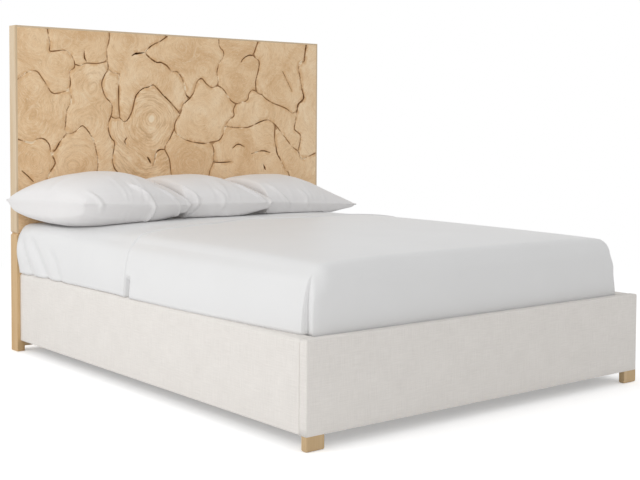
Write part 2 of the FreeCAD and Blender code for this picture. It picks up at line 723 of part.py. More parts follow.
def loose_sheet_form(inset):
    """Loft of the loose stretch, from the rail's top up to the mattress crown."""
    low = rail_top_z + soft_clearance
    start_y = mattress_head_y
    wires = []
    for station, reach_share in zip(loose_station_shares, loose_reach_shares):
        y = start_y - station * loose_length
        side_x = -(mattress_width / 2 + fitted_outer + reach_share * loose_reach - inset)
        inner_x = -(mattress_width / 2 - 2 * loose_turn_radius)
        top_z = crown_top(inner_x) - inset
        turn_x = side_x + loose_turn_radius
        bend = loose_turn_radius * (1 - math.sqrt(0.5))
        points = {
            "foot_in": V(inner_x, y, low - 2 * inset),
            "foot_out": V(side_x, y, low - 2 * inset),
            "side": V(side_x, y, top_z - loose_turn_radius),
            "bend": V(side_x + bend, y, top_z - bend),
            "top_out": V(turn_x, y, top_z),
            "top_in": V(inner_x, y, top_z),
        }
        edges = [
            Part.makeLine(points["foot_in"], points["foot_out"]),
            Part.makeLine(points["foot_out"], points["side"]),
            arc(points["side"], points["bend"], points["top_out"]),
            Part.makeLine(points["top_out"], points["top_in"]),
            Part.makeLine(points["top_in"], points["foot_in"]),
        ]
        wires.append(Part.Wire(edges))
    return Part.makeLoft(wires, True, True)


def fitted_sheet():
    """Sheet over the mattress, with the loose folded stretch at the head's left corner."""
    inside = mattress_form(fitted_grow)
    skin = mattress_form(fitted_outer).cut(inside).common(above_hem())
    loose = loose_sheet_form(0).cut(loose_sheet_form(sheet_thickness)).cut(inside)
    loose = loose.cut(under_top_sheet(sheet_thickness))
    return skin.fuse(loose).removeSplitter()


def top_sheet():
    """Top sheet from its head edge down to the foot, doubled at the two foot corners."""
    inside = mattress_form(top_grow)
    outside = mattress_form(top_outer)
    sheet = outside.cut(inside).common(under_top_sheet(0)).common(above_hem())
    folds = mattress_form(top_outer + sheet_thickness).cut(outside).common(above_hem())
    fold_y = (mattress_foot_y - top_outer - overrun, mattress_foot_y + corner_fold_length)
    fold_z = (slat_top_z, slat_top_z + corner_fold_height)
    fold_x = mattress_width / 2 - corner_fold_length
    right = box((fold_x, rail_outer_x), fold_y, fold_z)
    return sheet.fuse(folds.common(right)).fuse(folds.common(mirrored(right))).removeSplitter()


def pillow(left_x, right_x):
    """Pillow lofted across the bed: lens sections, full in the middle, drawn in at its sides."""
    stations = [left_x + share * (right_x - left_x) for share in pillow_station_shares]
    seam_z = max(crown_top(x) + swell * pillow_fall for x, swell in zip(stations, pillow_swell_shares))
    seam_z += soft_clearance
    back_y = head_front_y - pillow_wall_gap
    middle_y = back_y - pillow_depth / 2
    wires = []
    for x, depth_share, swell in zip(stations, pillow_depth_shares, pillow_swell_shares):
        half = depth_share * pillow_depth / 2
        back = V(x, middle_y + half, seam_z)
        front = V(x, middle_y - half, seam_z)
        top = V(x, middle_y, seam_z + swell * pillow_rise)
        under = V(x, middle_y, seam_z - swell * pillow_fall)
        wires.append(Part.Wire([arc(back, top, front), arc(front, under, back)]))
    return Part.makeLoft(wires, True, False)


def pillows():
    """The three pillows side by side, a small gap apart."""
    ends = [share * mattress_width for share in pillow_end_shares]
    nodes = ("left_pillow", "middle_pillow", "right_pillow")
    return {node: pillow(low, high - pillow_side_gap) for node, low, high in zip(nodes, ends, ends[1:])}


def main():
    """Build every node and write it."""
    os.makedirs("parts", exist_ok=True)
    save_pair("headboard_edge", right_edge_board())
    save_pair("headboard_leg", right_leg())
    save("headboard_top_edge", top_edge_board())
    for node, shape in {**headboard_panels(), **headboard_slabs(), **footboard()}.items():
        save(node, shape)
    for name, shape in right_rail().items():
        save_pair(name, shape)
    save_pair("ledger", right_ledger())
    save_pair("foot_block", right_foot_block())
    save("corner_brackets", corner_brackets())
    save("bracket_bolts", bracket_bolts())
    for index, y in enumerate(slat_middles()):
        save("slat_" + str(index + 1), slat(y))
    save("slat_screws", Part.makeCompound([screw(*place) for place in screw_places()]))
    for node, shape in {**center_support(), **pillows()}.items():
        save(node, shape)
    save("mattress", mattress_form(0))
    save("fitted_sheet", fitted_sheet())
    save("top_sheet", top_sheet())


main()
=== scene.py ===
"""Looks of the panel bed: root-slab headboard, linen rails and footboard, slatted base, bedding.

Metres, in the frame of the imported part: the origin lies on the floor at the middle of the
bed, +Y points at the headboard, and left is -X, as seen from the foot.
"""

import functools
import logging
import math
from dataclasses import dataclass
from enum import Enum
from typing import Callable, Optional, Sequence

import bmesh
import bpy
import numpy as np
from mathutils import Matrix, Vector, noise


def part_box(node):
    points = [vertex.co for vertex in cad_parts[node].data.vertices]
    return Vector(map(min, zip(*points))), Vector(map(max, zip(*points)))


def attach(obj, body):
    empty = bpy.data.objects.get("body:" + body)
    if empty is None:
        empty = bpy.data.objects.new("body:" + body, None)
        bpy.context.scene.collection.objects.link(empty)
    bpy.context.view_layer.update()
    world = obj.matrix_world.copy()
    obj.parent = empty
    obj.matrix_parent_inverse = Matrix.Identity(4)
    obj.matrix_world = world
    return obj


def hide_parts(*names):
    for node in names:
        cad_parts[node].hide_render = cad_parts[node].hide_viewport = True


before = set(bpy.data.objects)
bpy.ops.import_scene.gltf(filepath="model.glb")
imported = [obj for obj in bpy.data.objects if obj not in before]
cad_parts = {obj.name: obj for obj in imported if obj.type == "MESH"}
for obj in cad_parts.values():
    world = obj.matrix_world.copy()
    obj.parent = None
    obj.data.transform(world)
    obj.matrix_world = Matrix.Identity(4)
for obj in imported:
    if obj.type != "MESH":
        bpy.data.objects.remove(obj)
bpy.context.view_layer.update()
LOG = logging.getLogger("panel_bed")

Colour = tuple[float, float, float]
Place = tuple[float, float, float]
Range = tuple[float, float]
Wave = tuple[float, float, float]
Stop = tuple[float, Colour]
Value = object

MERGE = 1e-5
FLAT_ANGLE = math.radians(0.6)
SHARP_ANGLE = math.radians(40)
EDGE_ANGLE = 0.5
FACING = 0.9


class Side(Enum):
    """The two long sides of the bed, as the sign of X."""

    LEFT = -1
    RIGHT = 1

    @property
    def word(self) -> str:
        """The side's name as the nodes spell it."""
        return self.name.lower()


class Grain(Enum):
    """The axis that a board's grain runs along."""

    ACROSS = 0
    ALONG = 1
    UP = 2


# Shared numbers and shapes


def smooth_rise(values: np.ndarray, start: float, end: float) -> np.ndarray:
    """Ease from 0 at start to 1 at end.

    Args:
        values: Places to ease.
        start: Place where the rise begins.
        end: Place where it is complete.

    Returns:
        Shares from 0 to 1.
    """
    share = np.clip((values - start) / (end - start), 0.0, 1.0)
    return share * share * (3.0 - 2.0 * share)


def soft_limit(values: np.ndarray, limit: float, softness: float) -> np.ndarray:
    """Squeeze values that come near an upper limit, so that none passes it.

    Args:
        values: Places along one axis.
        limit: Largest place allowed.
        softness: Length over which the squeeze sets in.

    Returns:
        The squeezed places.
    """
    start = limit - softness
    over = np.maximum(values - start, 0.0)
    return np.where(values > start, limit - softness * np.exp(-over / softness), values)


def curve_through(places: Sequence[float], values: Sequence[float], at: np.ndarray) -> np.ndarray:
    """Read a smooth curve through a few given points.

    Args:
        places: Rising places of the points.
        values: Value at each point.
        at: Places to read.

    Returns:
        Values of the curve, level beyond its ends.
    """
    x = np.asarray(places, float)
    y = np.asarray(values, float)
    slope = np.gradient(y, x)
    index = np.clip(np.searchsorted(x, at) - 1, 0, len(x) - 2)
    step = x[index + 1] - x[index]
    t = np.clip((at - x[index]) / step, 0.0, 1.0)
    start = y[index] * (2 * t ** 3 - 3 * t ** 2 + 1) + slope[index] * step * (t ** 3 - 2 * t ** 2 + t)
    end = y[index + 1] * (3 * t ** 2 - 2 * t ** 3) + slope[index + 1] * step * (t ** 3 - t ** 2)
    return start + end


def ripples(places: np.ndarray, waves: Sequence[Wave]) -> np.ndarray:
    """Add up a few sine waves, each given as its turn per metre, start and height."""
    return sum(height * np.sin(turn * places + start) for turn, start, height in waves)


def read_points(mesh: bpy.types.Mesh) -> np.ndarray:
    """Vertex places of a mesh as an array of rows.

    Args:
        mesh: The mesh to read.

    Returns:
        Rows of X, Y, Z.
    """
    points = np.empty(len(mesh.vertices) * 3, np.float32)
    mesh.vertices.foreach_get("co", points)
    return points.reshape(-1, 3).astype(float)


def write_points(mesh: bpy.types.Mesh, points: np.ndarray) -> None:
    """Put an array of rows back as a mesh's vertex places."""
    mesh.vertices.foreach_set("co", points.astype(np.float32).ravel())
    mesh.update()


def write_attribute(mesh: bpy.types.Mesh, name: str, values: np.ndarray) -> None:
    """Store one number per vertex under a name that a material can read."""
    attribute = mesh.attributes.new(name, "FLOAT", "POINT")
    attribute.data.foreach_set("value", values.astype(np.float32))


def make_piece(bm: bmesh.types.BMesh, name: str, smooth: bool = False) -> bpy.types.Object:
    """Turn a finished bmesh into an object in the scene.

    Args:
        bm: The mesh data, which is freed.
        name: Name of the piece.
        smooth: True for smooth shading.

    Returns:
        The new object.
    """
    mesh = bpy.data.meshes.new(name)
    bm.to_mesh(mesh)
    bm.free()
    if smooth:
        mesh.shade_smooth()
    piece = bpy.data.objects.new(name, mesh)
    bpy.context.scene.collection.objects.link(piece)
    return piece


def settle(piece: bpy.types.Object, body: str, finishes: Sequence["Finish"],
           nodes: Sequence[str]) -> None:
    """Dress a piece, seat it on its body and let it stand for its CAD nodes.

    Args:
        piece: The finished object.
        body: CAD body that it moves with.
        finishes: One finish for each material index of the mesh.
        nodes: CAD nodes that the piece replaces.
    """
    piece.data.materials.clear()
    for finish in finishes:
        piece.data.materials.append(material_of(finish))
    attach(piece, body)
    if nodes:
        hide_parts(*nodes)
    LOG.info("%s rides on %s with %d vertices", piece.name, body, len(piece.data.vertices))


def solid_copy(node: str) -> bmesh.types.BMesh:
    """A merged copy of a CAD node's mesh, with each flat face in one piece again.

    Args:
        node: Name of the node.

    Returns:
        The copy, as a new bmesh.
    """
    bm = bmesh.new()
    bm.from_mesh(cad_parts[node].data)
    bmesh.ops.remove_doubles(bm, verts=bm.verts, dist=MERGE)
    bmesh.ops.dissolve_limit(bm, angle_limit=FLAT_ANGLE, verts=bm.verts, edges=bm.edges)
    return bm


def verts_of(geometry: Sequence[object]) -> list[bmesh.types.BMVert]:
    """The vertices among the items that a bmesh operator gives back."""
    return [item for item in geometry if isinstance(item, bmesh.types.BMVert)]


def block(low: Vector, high: Vector) -> bmesh.types.BMesh:
    """A box between two corners, as a new bmesh.

    Args:
        low: Lowest corner.
        high: Highest corner.

    Returns:
        The box.
    """
    bm = bmesh.new()
    bmesh.ops.create_cube(bm, size=1.0)
    bmesh.ops.scale(bm, vec=high - low, verts=bm.verts)
    bmesh.ops.translate(bm, vec=(low + high) / 2, verts=bm.verts)
    return bm


def open_sides(bm: bmesh.types.BMesh, directions: Sequence[Vector]) -> None:
    """Remove the faces of a box that look in the given directions.

    Args:
        bm: The box.
        directions: One unit vector for each side to open.
    """
    bm.normal_update()
    gone = [face for face in bm.faces if any(face.normal.dot(way) > FACING for way in directions)]
    bmesh.ops.delete(bm, geom=gone, context="FACES_ONLY")


def divide(bm: bmesh.types.BMesh, cuts: tuple[int, int, int]) -> None:
    """Cut a box evenly across each axis.

    Args:
        bm: A box-shaped mesh with straight edges.
        cuts: How many cuts across X, Y and Z.
    """
    for axis, count in enumerate(cuts):
        along = [edge for edge in bm.edges
                 if abs((edge.verts[0].co - edge.verts[1].co).normalized()[axis]) > FACING]
        if count:
            bmesh.ops.subdivide_edges(bm, edges=along, cuts=count, use_grid_fill=True)


def slice_up(bm: bmesh.types.BMesh, axis: int, places: Sequence[float]) -> None:
    """Add edge loops where planes across one axis meet the mesh.

    Args:
        bm: The mesh.
        axis: 0, 1 or 2 for X, Y or Z.
        places: Where on that axis the planes stand.
    """
    normal = Vector((0, 0, 0))
    normal[axis] = 1.0
    for place in places:
        geometry = bm.verts[:] + bm.edges[:] + bm.faces[:]
        bmesh.ops.bisect_plane(bm, geom=geometry, dist=MERGE, plane_co=normal * place, plane_no=normal)


def edges_where(bm: bmesh.types.BMesh, test: Callable[[Vector], bool]) -> list[bmesh.types.BMEdge]:
    """Edges whose two ends both pass a test of place."""
    return [edge for edge in bm.edges if all(test(vert.co) for vert in edge.verts)]


def round_edges(bm: bmesh.types.BMesh, edges: Sequence[bmesh.types.BMEdge], radius: float,
                segments: int, clamp: bool = True) -> None:
    """Bevel some edges to a round.

    Args:
        bm: The mesh.
        edges: Its edges to round.
        radius: Size of the round.
        segments: How many strips make it up.
        clamp: True where rounds that meet are kept from overlapping.
    """
    bmesh.ops.bevel(bm, geom=list(edges), offset=radius, offset_type="OFFSET", segments=segments,
                    profile=0.5, affect="EDGES", clamp_overlap=clamp, material=-1)


def unwrap_by_side(bm: bmesh.types.BMesh, name: str) -> None:
    """Give each face a flat map in metres, seen along the axis that it faces most.

    Args:
        bm: The mesh.
        name: Name of the map.
    """
    layer = bm.loops.layers.uv.new(name)
    bm.normal_update()
    pairs = ((1, 2), (0, 2), (0, 1))
    for face in bm.faces:
        axis = max(range(3), key=lambda index: abs(face.normal[index]))
        across, up = pairs[axis]
        for loop in face.loops:
            loop[layer].uv = (loop.vert.co[across], loop.vert.co[up])


def rounded_block(points: np.ndarray, low: np.ndarray, high: np.ndarray,
                  radii: np.ndarray) -> np.ndarray:
    """Move points of a sharp box onto the same box with round edges.

    Args:
        points: Places on the sharp box.
        low: Lowest corner for each point.
        high: Highest corner for each point.
        radii: Size of the rounding along each axis, for each point.

    Returns:
        Places on the round box.
    """
    core = np.clip(points, low + radii, high - radii)
    out = (points - core) / radii
    length = np.maximum(np.linalg.norm(out, axis=1, keepdims=True), 1e-9)
    return core + radii * out / length


# Materials


class Graph:
    """Node tree of one material, with short calls that add and join its nodes."""

    def __init__(self, name: str) -> None:
        """Start from a Principled surface.

        Args:
            name: Name of the material.
        """
        self.material = bpy.data.materials.new(name)
        self.material.use_nodes = True
        self.nodes = self.material.node_tree.nodes
        self.links = self.material.node_tree.links
        self.surface = self.nodes["Principled BSDF"]

    def feed(self, socket: bpy.types.NodeSocket, value: Value) -> None:
        """Link a socket to another, or set its own value.

        Args:
            socket: The input to feed.
            value: An output to link, or a plain value.
        """
        if isinstance(value, bpy.types.NodeSocket):
            self.links.new(value, socket)
        elif socket.type == "RGBA":
            socket.default_value = (*value, 1.0)
        else:
            socket.default_value = value

    def add(self, kind: str, inputs: dict, **settings: Value) -> bpy.types.Node:
        """Add a node.

        Args:
            kind: Blender's name for the node.
            inputs: Values or links for its sockets, by name or number.
            settings: The node's own properties.

        Returns:
            The node.
        """
        node = self.nodes.new(kind)
        for key, value in settings.items():
            setattr(node, key, value)
        for key, value in inputs.items():
            self.feed(node.inputs[key], value)
        return node

    def place(self) -> bpy.types.NodeSocket:
        """The point on the piece, in metres."""
        return self.add("ShaderNodeTexCoord", {}).outputs["Object"]

    def flat_map(self, name: str) -> bpy.types.NodeSocket:
        """The point on the piece's own cloth map."""
        return self.add("ShaderNodeUVMap", {}, uv_map=name).outputs["UV"]

    def stored(self, name: str) -> bpy.types.NodeSocket:
        """A number stored on the piece's vertices."""
        return self.add("ShaderNodeAttribute", {}, attribute_name=name).outputs["Fac"]

    def direction(self, name: str) -> bpy.types.NodeSocket:
        """A place or direction stored on the piece's vertices."""
        return self.add("ShaderNodeAttribute", {}, attribute_name=name).outputs["Vector"]

    def stretch(self, vector: Value, scale: Place) -> bpy.types.NodeSocket:
        """Scale a point's three places, each by its own share."""
        return self.add("ShaderNodeMapping", {"Vector": vector, "Scale": scale}).outputs[0]

    def noise(self, vector: Value, scale: float, detail: float = 3.0, rough: float = 0.5,
              warp: float = 0.0) -> bpy.types.NodeSocket:
        """Cloudy noise from 0 to 1 at a point.

        Args:
            vector: The point.
            scale: How many clouds to a metre.
            detail: How many finer layers are added.
            rough: How strong the finer layers are.
            warp: How far the clouds are pulled about.

        Returns:
            The noise.
        """
        inputs = {"Vector": vector, "Scale": scale, "Detail": detail, "Roughness": rough,
                  "Distortion": warp}
        return self.add("ShaderNodeTexNoise", inputs).outputs[0]

    def sum(self, operation: str, first: Value, second: Value = 0.0) -> bpy.types.NodeSocket:
        """One step of arithmetic on numbers."""
        return self.add("ShaderNodeMath", {0: first, 1: second}, operation=operation).outputs[0]

    def span(self, value: Value, start: float, end: float, low: float = 0.0,
             high: float = 1.0) -> bpy.types.NodeSocket:
        """Ease a number from one range to another, held at its ends.

        Args:
            value: The number.
            start: Where the first range starts.
            end: Where it ends.
            low: What the start becomes.
            high: What the end becomes.

        Returns:
            The eased number.
        """
        inputs = {"Value": value, "From Min": start, "From Max": end, "To Min": low, "To Max": high}
        node = self.add("ShaderNodeMapRange", inputs, interpolation_type="SMOOTHSTEP")
        return node.outputs[0]

    def ramp(self, value: Value, stops: Sequence[Stop]) -> bpy.types.NodeSocket:
        """Colour that follows a number through a few stops.

        Args:
            value: The number.
            stops: Places from 0 to 1, each with its colour.

        Returns:
            The colour.
        """
        node = self.add("ShaderNodeValToRGB", {0: value})
        elements = node.color_ramp.elements
        while len(elements) < len(stops):
            elements.new(0.5)
        for element, (place, colour) in zip(elements, stops):
            element.position = place
            element.color = (*colour, 1.0)
        return node.outputs[0]

    def mix(self, share: Value, first: Value, second: Value,
            blend: str = "MIX") -> bpy.types.NodeSocket:
        """Blend two colours by a share.

        Args:
            share: 0 for the first colour, 1 for the second.
            first: The first colour.
            second: The second colour.
            blend: Blender's name for the kind of blend.

        Returns:
            The blended colour.
        """
        node = self.add("ShaderNodeMix", {}, data_type="RGBA", blend_type=blend)
        self.feed(node.inputs[0], share)
        self.feed(node.inputs[6], first)
        self.feed(node.inputs[7], second)
        return node.outputs[2]

    def bump(self, height: Value, strength: float, distance: float) -> None:
        """Let a height roughen the surface."""
        inputs = {"Height": height, "Strength": strength, "Distance": distance}
        self.feed(self.surface.inputs["Normal"], self.add("ShaderNodeBump", inputs).outputs[0])

    def finish(self, colour: Value, **settings: Value) -> bpy.types.Material:
        """Set the surface's colour and other sockets.

        Args:
            colour: Base colour.
            settings: Other sockets, with underscores for spaces.

        Returns:
            The material.
        """
        self.feed(self.surface.inputs["Base Color"], colour)
        for key, value in settings.items():
            self.feed(self.surface.inputs[key.replace("_", " ")], value)
        return self.material


class Finish:
    """Base of every finish: something that can make its own material."""

    def make(self) -> bpy.types.Material:
        """Build the material."""
        raise NotImplementedError


@functools.cache
def material_of(finish: Finish) -> bpy.types.Material:
    """The one material of a finish, made at its first use."""
    return finish.make()


@dataclass(frozen=True)
class RootSlabWood(Finish):
    """Sanded root slices: mottled tan, curly streaks round each heart, painted shade at the cracks and
    painted highlights along their rims.
    """

    pale: Colour = (0.93, 0.70, 0.45)
    tan: Colour = (0.86, 0.605, 0.355)
    warm: Colour = (0.74, 0.475, 0.245)
    late_wood: Colour = (0.55, 0.335, 0.16)
    fleck: Colour = (1.0, 0.86, 0.64)
    # Dark brown painted at the crack edges as shade.
    painted_crack_shade: Colour = (0.33, 0.155, 0.048)
    ring_pitch: float = 0.0125
    heart_sway: float = 0.09
    heart_blend: float = 0.05

    def streaks(self, graph: Graph, place: Value, away: Value, pitch: float,
                run: float) -> bpy.types.NodeSocket:
        """Uneven bands that follow the rings.

        Args:
            graph: The material's graph.
            place: The point on the slab.
            away: Its distance from the nearest heart.
            pitch: About how far one band is from the next.
            run: About how long a band runs before it changes.

        Returns:
            Noise from 0 to 1 that changes quickly from ring to ring and slowly along one.
        """
        slow = graph.stretch(place, (1.0 / run, 0.0, 1.0 / run))
        parts = graph.add("ShaderNodeSeparateXYZ", {0: slow}).outputs
        ring = graph.sum("DIVIDE", away, pitch)
        vector = graph.add("ShaderNodeCombineXYZ", {0: parts[0], 1: ring, 2: parts[2]}).outputs[0]
        return graph.noise(vector, 1.0, rough=0.6)

    def from_heart(self, graph: Graph, place: Value) -> bpy.types.NodeSocket:
        """Wavering distance on the slab face from the nearer of its two hearts.

        Args:
            graph: The material's graph.
            place: The point on the slab.

        Returns:
            The distance in metres.
        """
        cloud = graph.add("ShaderNodeTexNoise", {"Vector": place, "Scale": 6.5, "Detail": 3.0}).outputs[1]
        middle = graph.add("ShaderNodeVectorMath", {0: place, 1: (self.heart_sway / 2,) * 3},
                           operation="SUBTRACT").outputs[0]
        wander = graph.add("ShaderNodeVectorMath", {0: cloud, 1: (self.heart_sway,) * 3, 2: middle},
                           operation="MULTIPLY_ADD").outputs[0]
        flat = graph.stretch(wander, (1.0, 0.0, 1.0))
        gaps = [graph.add("ShaderNodeVectorMath", {0: flat, 1: graph.direction(name)},
                          operation="DISTANCE").outputs[1] for name in ("heart_a", "heart_b")]
        inputs = {0: gaps[0], 1: gaps[1], 2: self.heart_blend}
        return graph.add("ShaderNodeMath", inputs, operation="SMOOTH_MIN").outputs[0]

    def make(self) -> bpy.types.Material:
        """Build the material; hearts, rim, tone and figure come from the slab's vertices.

        Returns:
            The material.
        """
        graph = Graph("root_slab_wood")
        place = graph.place()
        away = self.from_heart(graph, place)
        broad = self.streaks(graph, place, away, pitch=0.017, run=0.08)
        fine = self.streaks(graph, place, away, pitch=0.0034, run=0.018)
        grain = graph.noise(place, 240.0, detail=2.0, rough=0.7)
        wave = graph.sum("SINE", graph.sum("MULTIPLY", away, 2 * math.pi / self.ring_pitch))
        patch = graph.noise(place, 5.0, detail=5.0, rough=0.62, warp=0.6)
        patch = graph.sum("ADD", patch, graph.stored("tone"))
        figure = graph.stored("figure")
        dark = graph.sum("MULTIPLY", graph.span(broad, 0.50, 0.70, high=0.42), figure)
        pale = graph.sum("MULTIPLY", graph.span(broad, 0.47, 0.32, high=0.34), figure)
        ring = graph.sum("MULTIPLY", graph.span(wave, 0.1, 1.0), graph.span(figure, 0.6, 1.3, high=0.40))
        drawn_ring = graph.sum("MULTIPLY", ring, graph.span(broad, 0.35, 0.6))
        heart = graph.span(away, 0.013, 0.006, high=0.7)
        pith = graph.sum("MULTIPLY", heart, graph.span(figure, 1.0, 1.2))
        ragged = graph.noise(place, 28.0, detail=4.0, rough=0.6)
        rim = graph.stored("rim")
        # Warm brown within about 28 mm of the cracks, broken up by noise, is painted shade.
        near = graph.sum("SUBTRACT", graph.span(rim, 0.028, 0.0), graph.span(ragged, 0.35, 0.65))
        spots = graph.noise(place, 17.0, rough=0.6)
        # Pale broken lines just inside the rim are painted highlights, as if the eased edge caught the
        # light.
        painted_rim_highlight = graph.span(rim, 0.0044, 0.0026, high=0.75)
        painted_rim_highlight = graph.sum("MULTIPLY", painted_rim_highlight, graph.span(spots, 0.58, 0.67))
        # Dark brown on the last few millimetres before a crack is painted shade.
        painted_edge_shade = graph.span(rim, 0.0030, 0.0012)
        painted_edge_shade = graph.sum("MULTIPLY", painted_edge_shade, graph.span(spots, 0.62, 0.46))
        colour = graph.ramp(patch, [(0.34, self.pale), (0.50, self.tan), (0.66, self.warm)])
        layers = (
            (dark, self.late_wood),
            (pale, self.fleck),
            (drawn_ring, self.late_wood),
            (graph.span(fine, 0.52, 0.70, high=0.34), self.late_wood),
            (graph.span(fine, 0.46, 0.30, high=0.38), self.fleck),
            (graph.span(grain, 0.54, 0.74, high=0.30), self.late_wood),
            (graph.span(grain, 0.44, 0.28, high=0.30), self.fleck),
            (pith, self.fleck),
            (graph.span(near, 0.0, 0.8, high=0.85), self.warm),
            (painted_rim_highlight, self.fleck),
            (painted_edge_shade, self.painted_crack_shade),
        )
        for share, tint in layers:
            colour = graph.mix(share, colour, tint)
        height = graph.sum("ADD", graph.sum("MULTIPLY", fine, 0.5), broad)
        height = graph.sum("ADD", height, graph.sum("MULTIPLY", ring, 0.3))
        graph.bump(height, strength=0.45, distance=0.0022)
        return graph.finish(colour, Roughness=graph.span(patch, 0.3, 0.8, low=0.50, high=0.64))


@dataclass(frozen=True)
class StraightGrain(Finish):
    """Planed boards with grain along one axis."""

    name: str
    light: Colour
    dark: Colour
    grain: Grain
    roughness: float = 0.5
    fineness: float = 1.0
    length_share: float = 0.06

    def make(self) -> bpy.types.Material:
        """Build the material.

        Returns:
            The material.
        """
        graph = Graph(self.name)
        scale = [1.0, 1.0, 1.0]
        scale[self.grain.value] = self.length_share
        place = graph.stretch(graph.place(), tuple(scale))
        figure = graph.noise(place, 26.0 * self.fineness, detail=5.0, rough=0.6, warp=0.8)
        pores = graph.noise(place, 210.0 * self.fineness, detail=2.0)
        wide = graph.noise(place, 6.0 * self.fineness)
        blend = graph.sum("ADD", graph.sum("MULTIPLY", figure, 0.65), graph.sum("MULTIPLY", wide, 0.35))
        colour = graph.ramp(blend, [(0.34, self.light), (0.66, self.dark)])
        colour = graph.mix(graph.span(pores, 0.60, 0.78, high=0.35), colour, self.dark, "MULTIPLY")
        graph.bump(graph.sum("ADD", figure, pores), strength=0.18, distance=0.0008)
        rough = graph.span(figure, 0.3, 0.7, self.roughness - 0.06, self.roughness + 0.08)
        return graph.finish(colour, Roughness=rough)


@dataclass(frozen=True)
class BarkAndCrackShade(Finish):
    """Dark bark walls of the cracks, and the board behind them, coloured dark as painted shade seen through
    the cracks.
    """

    name: str
    colour: Colour
    deep_share: float = 0.35

    def make(self) -> bpy.types.Material:
        """Build the material.

        Returns:
            The material.
        """
        graph = Graph(self.name)
        grit = graph.noise(graph.place(), 120.0, detail=4.0, rough=0.6)
        deep = tuple(self.deep_share * part for part in self.colour)
        colour = graph.ramp(grit, [(0.3, deep), (0.7, self.colour)])
        graph.bump(grit, strength=0.5, distance=0.002)
        return graph.finish(colour, Roughness=0.85, Specular_IOR_Level=0.05)


@dataclass(frozen=True)
class LinenWeave(Finish):
    """Plain-woven upholstery linen with slubs, on the piece's own cloth map."""

    name: str
    thread: Colour
    shade: Colour
    pitch: float = 0.0016
    slub_share: float = 0.05

    def make(self) -> bpy.types.Material:
        """Build the material.

        Returns:
            The material.
        """
        graph = Graph(self.name)
        cloth = graph.flat_map("cloth")
        turn = 2 * math.pi / self.pitch
        parts = graph.add("ShaderNodeSeparateXYZ", {0: cloth}).outputs
        warp, weft = (graph.sum("SINE", graph.sum("MULTIPLY", part, turn)) for part in parts[:2])
        weave = graph.sum("MULTIPLY", warp, weft)
        upright, level = (graph.noise(graph.stretch(cloth, scale), 330.0, rough=0.6)
                          for scale in ((1.0, self.slub_share, 1.0), (self.slub_share, 1.0, 1.0)))
        slub = graph.sum("ADD", upright, level)
        cloud = graph.noise(cloth, 9.0)
        tone = graph.sum("ADD", slub, graph.sum("MULTIPLY", cloud, 0.5))
        colour = graph.ramp(graph.sum("MULTIPLY", tone, 0.42), [(0.38, self.shade), (0.66, self.thread)])
        height = graph.sum("ADD", graph.sum("MULTIPLY", weave, 0.35), slub)
        graph.bump(height, strength=0.35, distance=0.0009)
        return graph.finish(colour, Roughness=0.92, Sheen_Weight=0.12, Sheen_Roughness=0.6,
                            Specular_IOR_Level=0.25)


@dataclass(frozen=True)
class SmoothCotton(Finish):
    """Fine bed cotton: nearly white, with a soft sheen and a very fine weave."""

    name: str
    colour: Colour
    shade: Colour
    sheen: float = 0.15
    roughness: float = 0.6
    gloss: float = 0.3

    def make(self) -> bpy.types.Material:
        """Build the material.

        Returns:
            The material.
        """
        graph = Graph(self.name)
        place = graph.place()
        cloud = graph.noise(place, 5.0)
        thread = graph.noise(graph.stretch(place, (1.0, 1.0, 0.3)), 900.0, detail=1.0)
        colour = graph.ramp(cloud, [(0.3, self.shade), (0.7, self.colour)])
        graph.bump(thread, strength=0.08, distance=0.0004)
        return graph.finish(colour, Roughness=self.roughness, Sheen_Weight=self.sheen,
                            Sheen_Roughness=0.45, Specular_IOR_Level=self.gloss)


@dataclass(frozen=True)
class ZincSteel(Finish):
    """Zinc-plated brackets, bolts and screws."""

    name: str = "zinc_steel"
    colour: Colour = (0.56, 0.57, 0.58)
    dull_share: float = 0.75

    def make(self) -> bpy.types.Material:
        """Build the material.

        Returns:
            The material.
        """
        graph = Graph(self.name)
        spangle = graph.noise(graph.place(), 160.0)
        dull = tuple(self.dull_share * part for part in self.colour)
        colour = graph.ramp(spangle, [(0.35, dull), (0.65, self.colour)])
        rough = graph.span(spangle, 0.3, 0.7, low=0.32, high=0.5)
        return graph.finish(colour, Metallic=1.0, Roughness=rough)


@dataclass(frozen=True)
class MouldedPlastic(Finish):
    """Dark grey moulded plastic of the levelling foot."""

    name: str = "glide_plastic"
    colour: Colour = (0.09, 0.09, 0.095)
    pale_share: float = 1.4

    def make(self) -> bpy.types.Material:
        """Build the material.

        Returns:
            The material.
        """
        graph = Graph(self.name)
        grain = graph.noise(graph.place(), 700.0, detail=2.0)
        pale = tuple(self.pale_share * part for part in self.colour)
        colour = graph.ramp(grain, [(0.3, self.colour), (0.7, pale)])
        graph.bump(grain, strength=0.12, distance=0.0003)
        return graph.finish(colour, Roughness=0.5)


SLAB_WOOD = RootSlabWood()
CRACK_WALL = BarkAndCrackShade("crack_wall", (0.40, 0.19, 0.055))
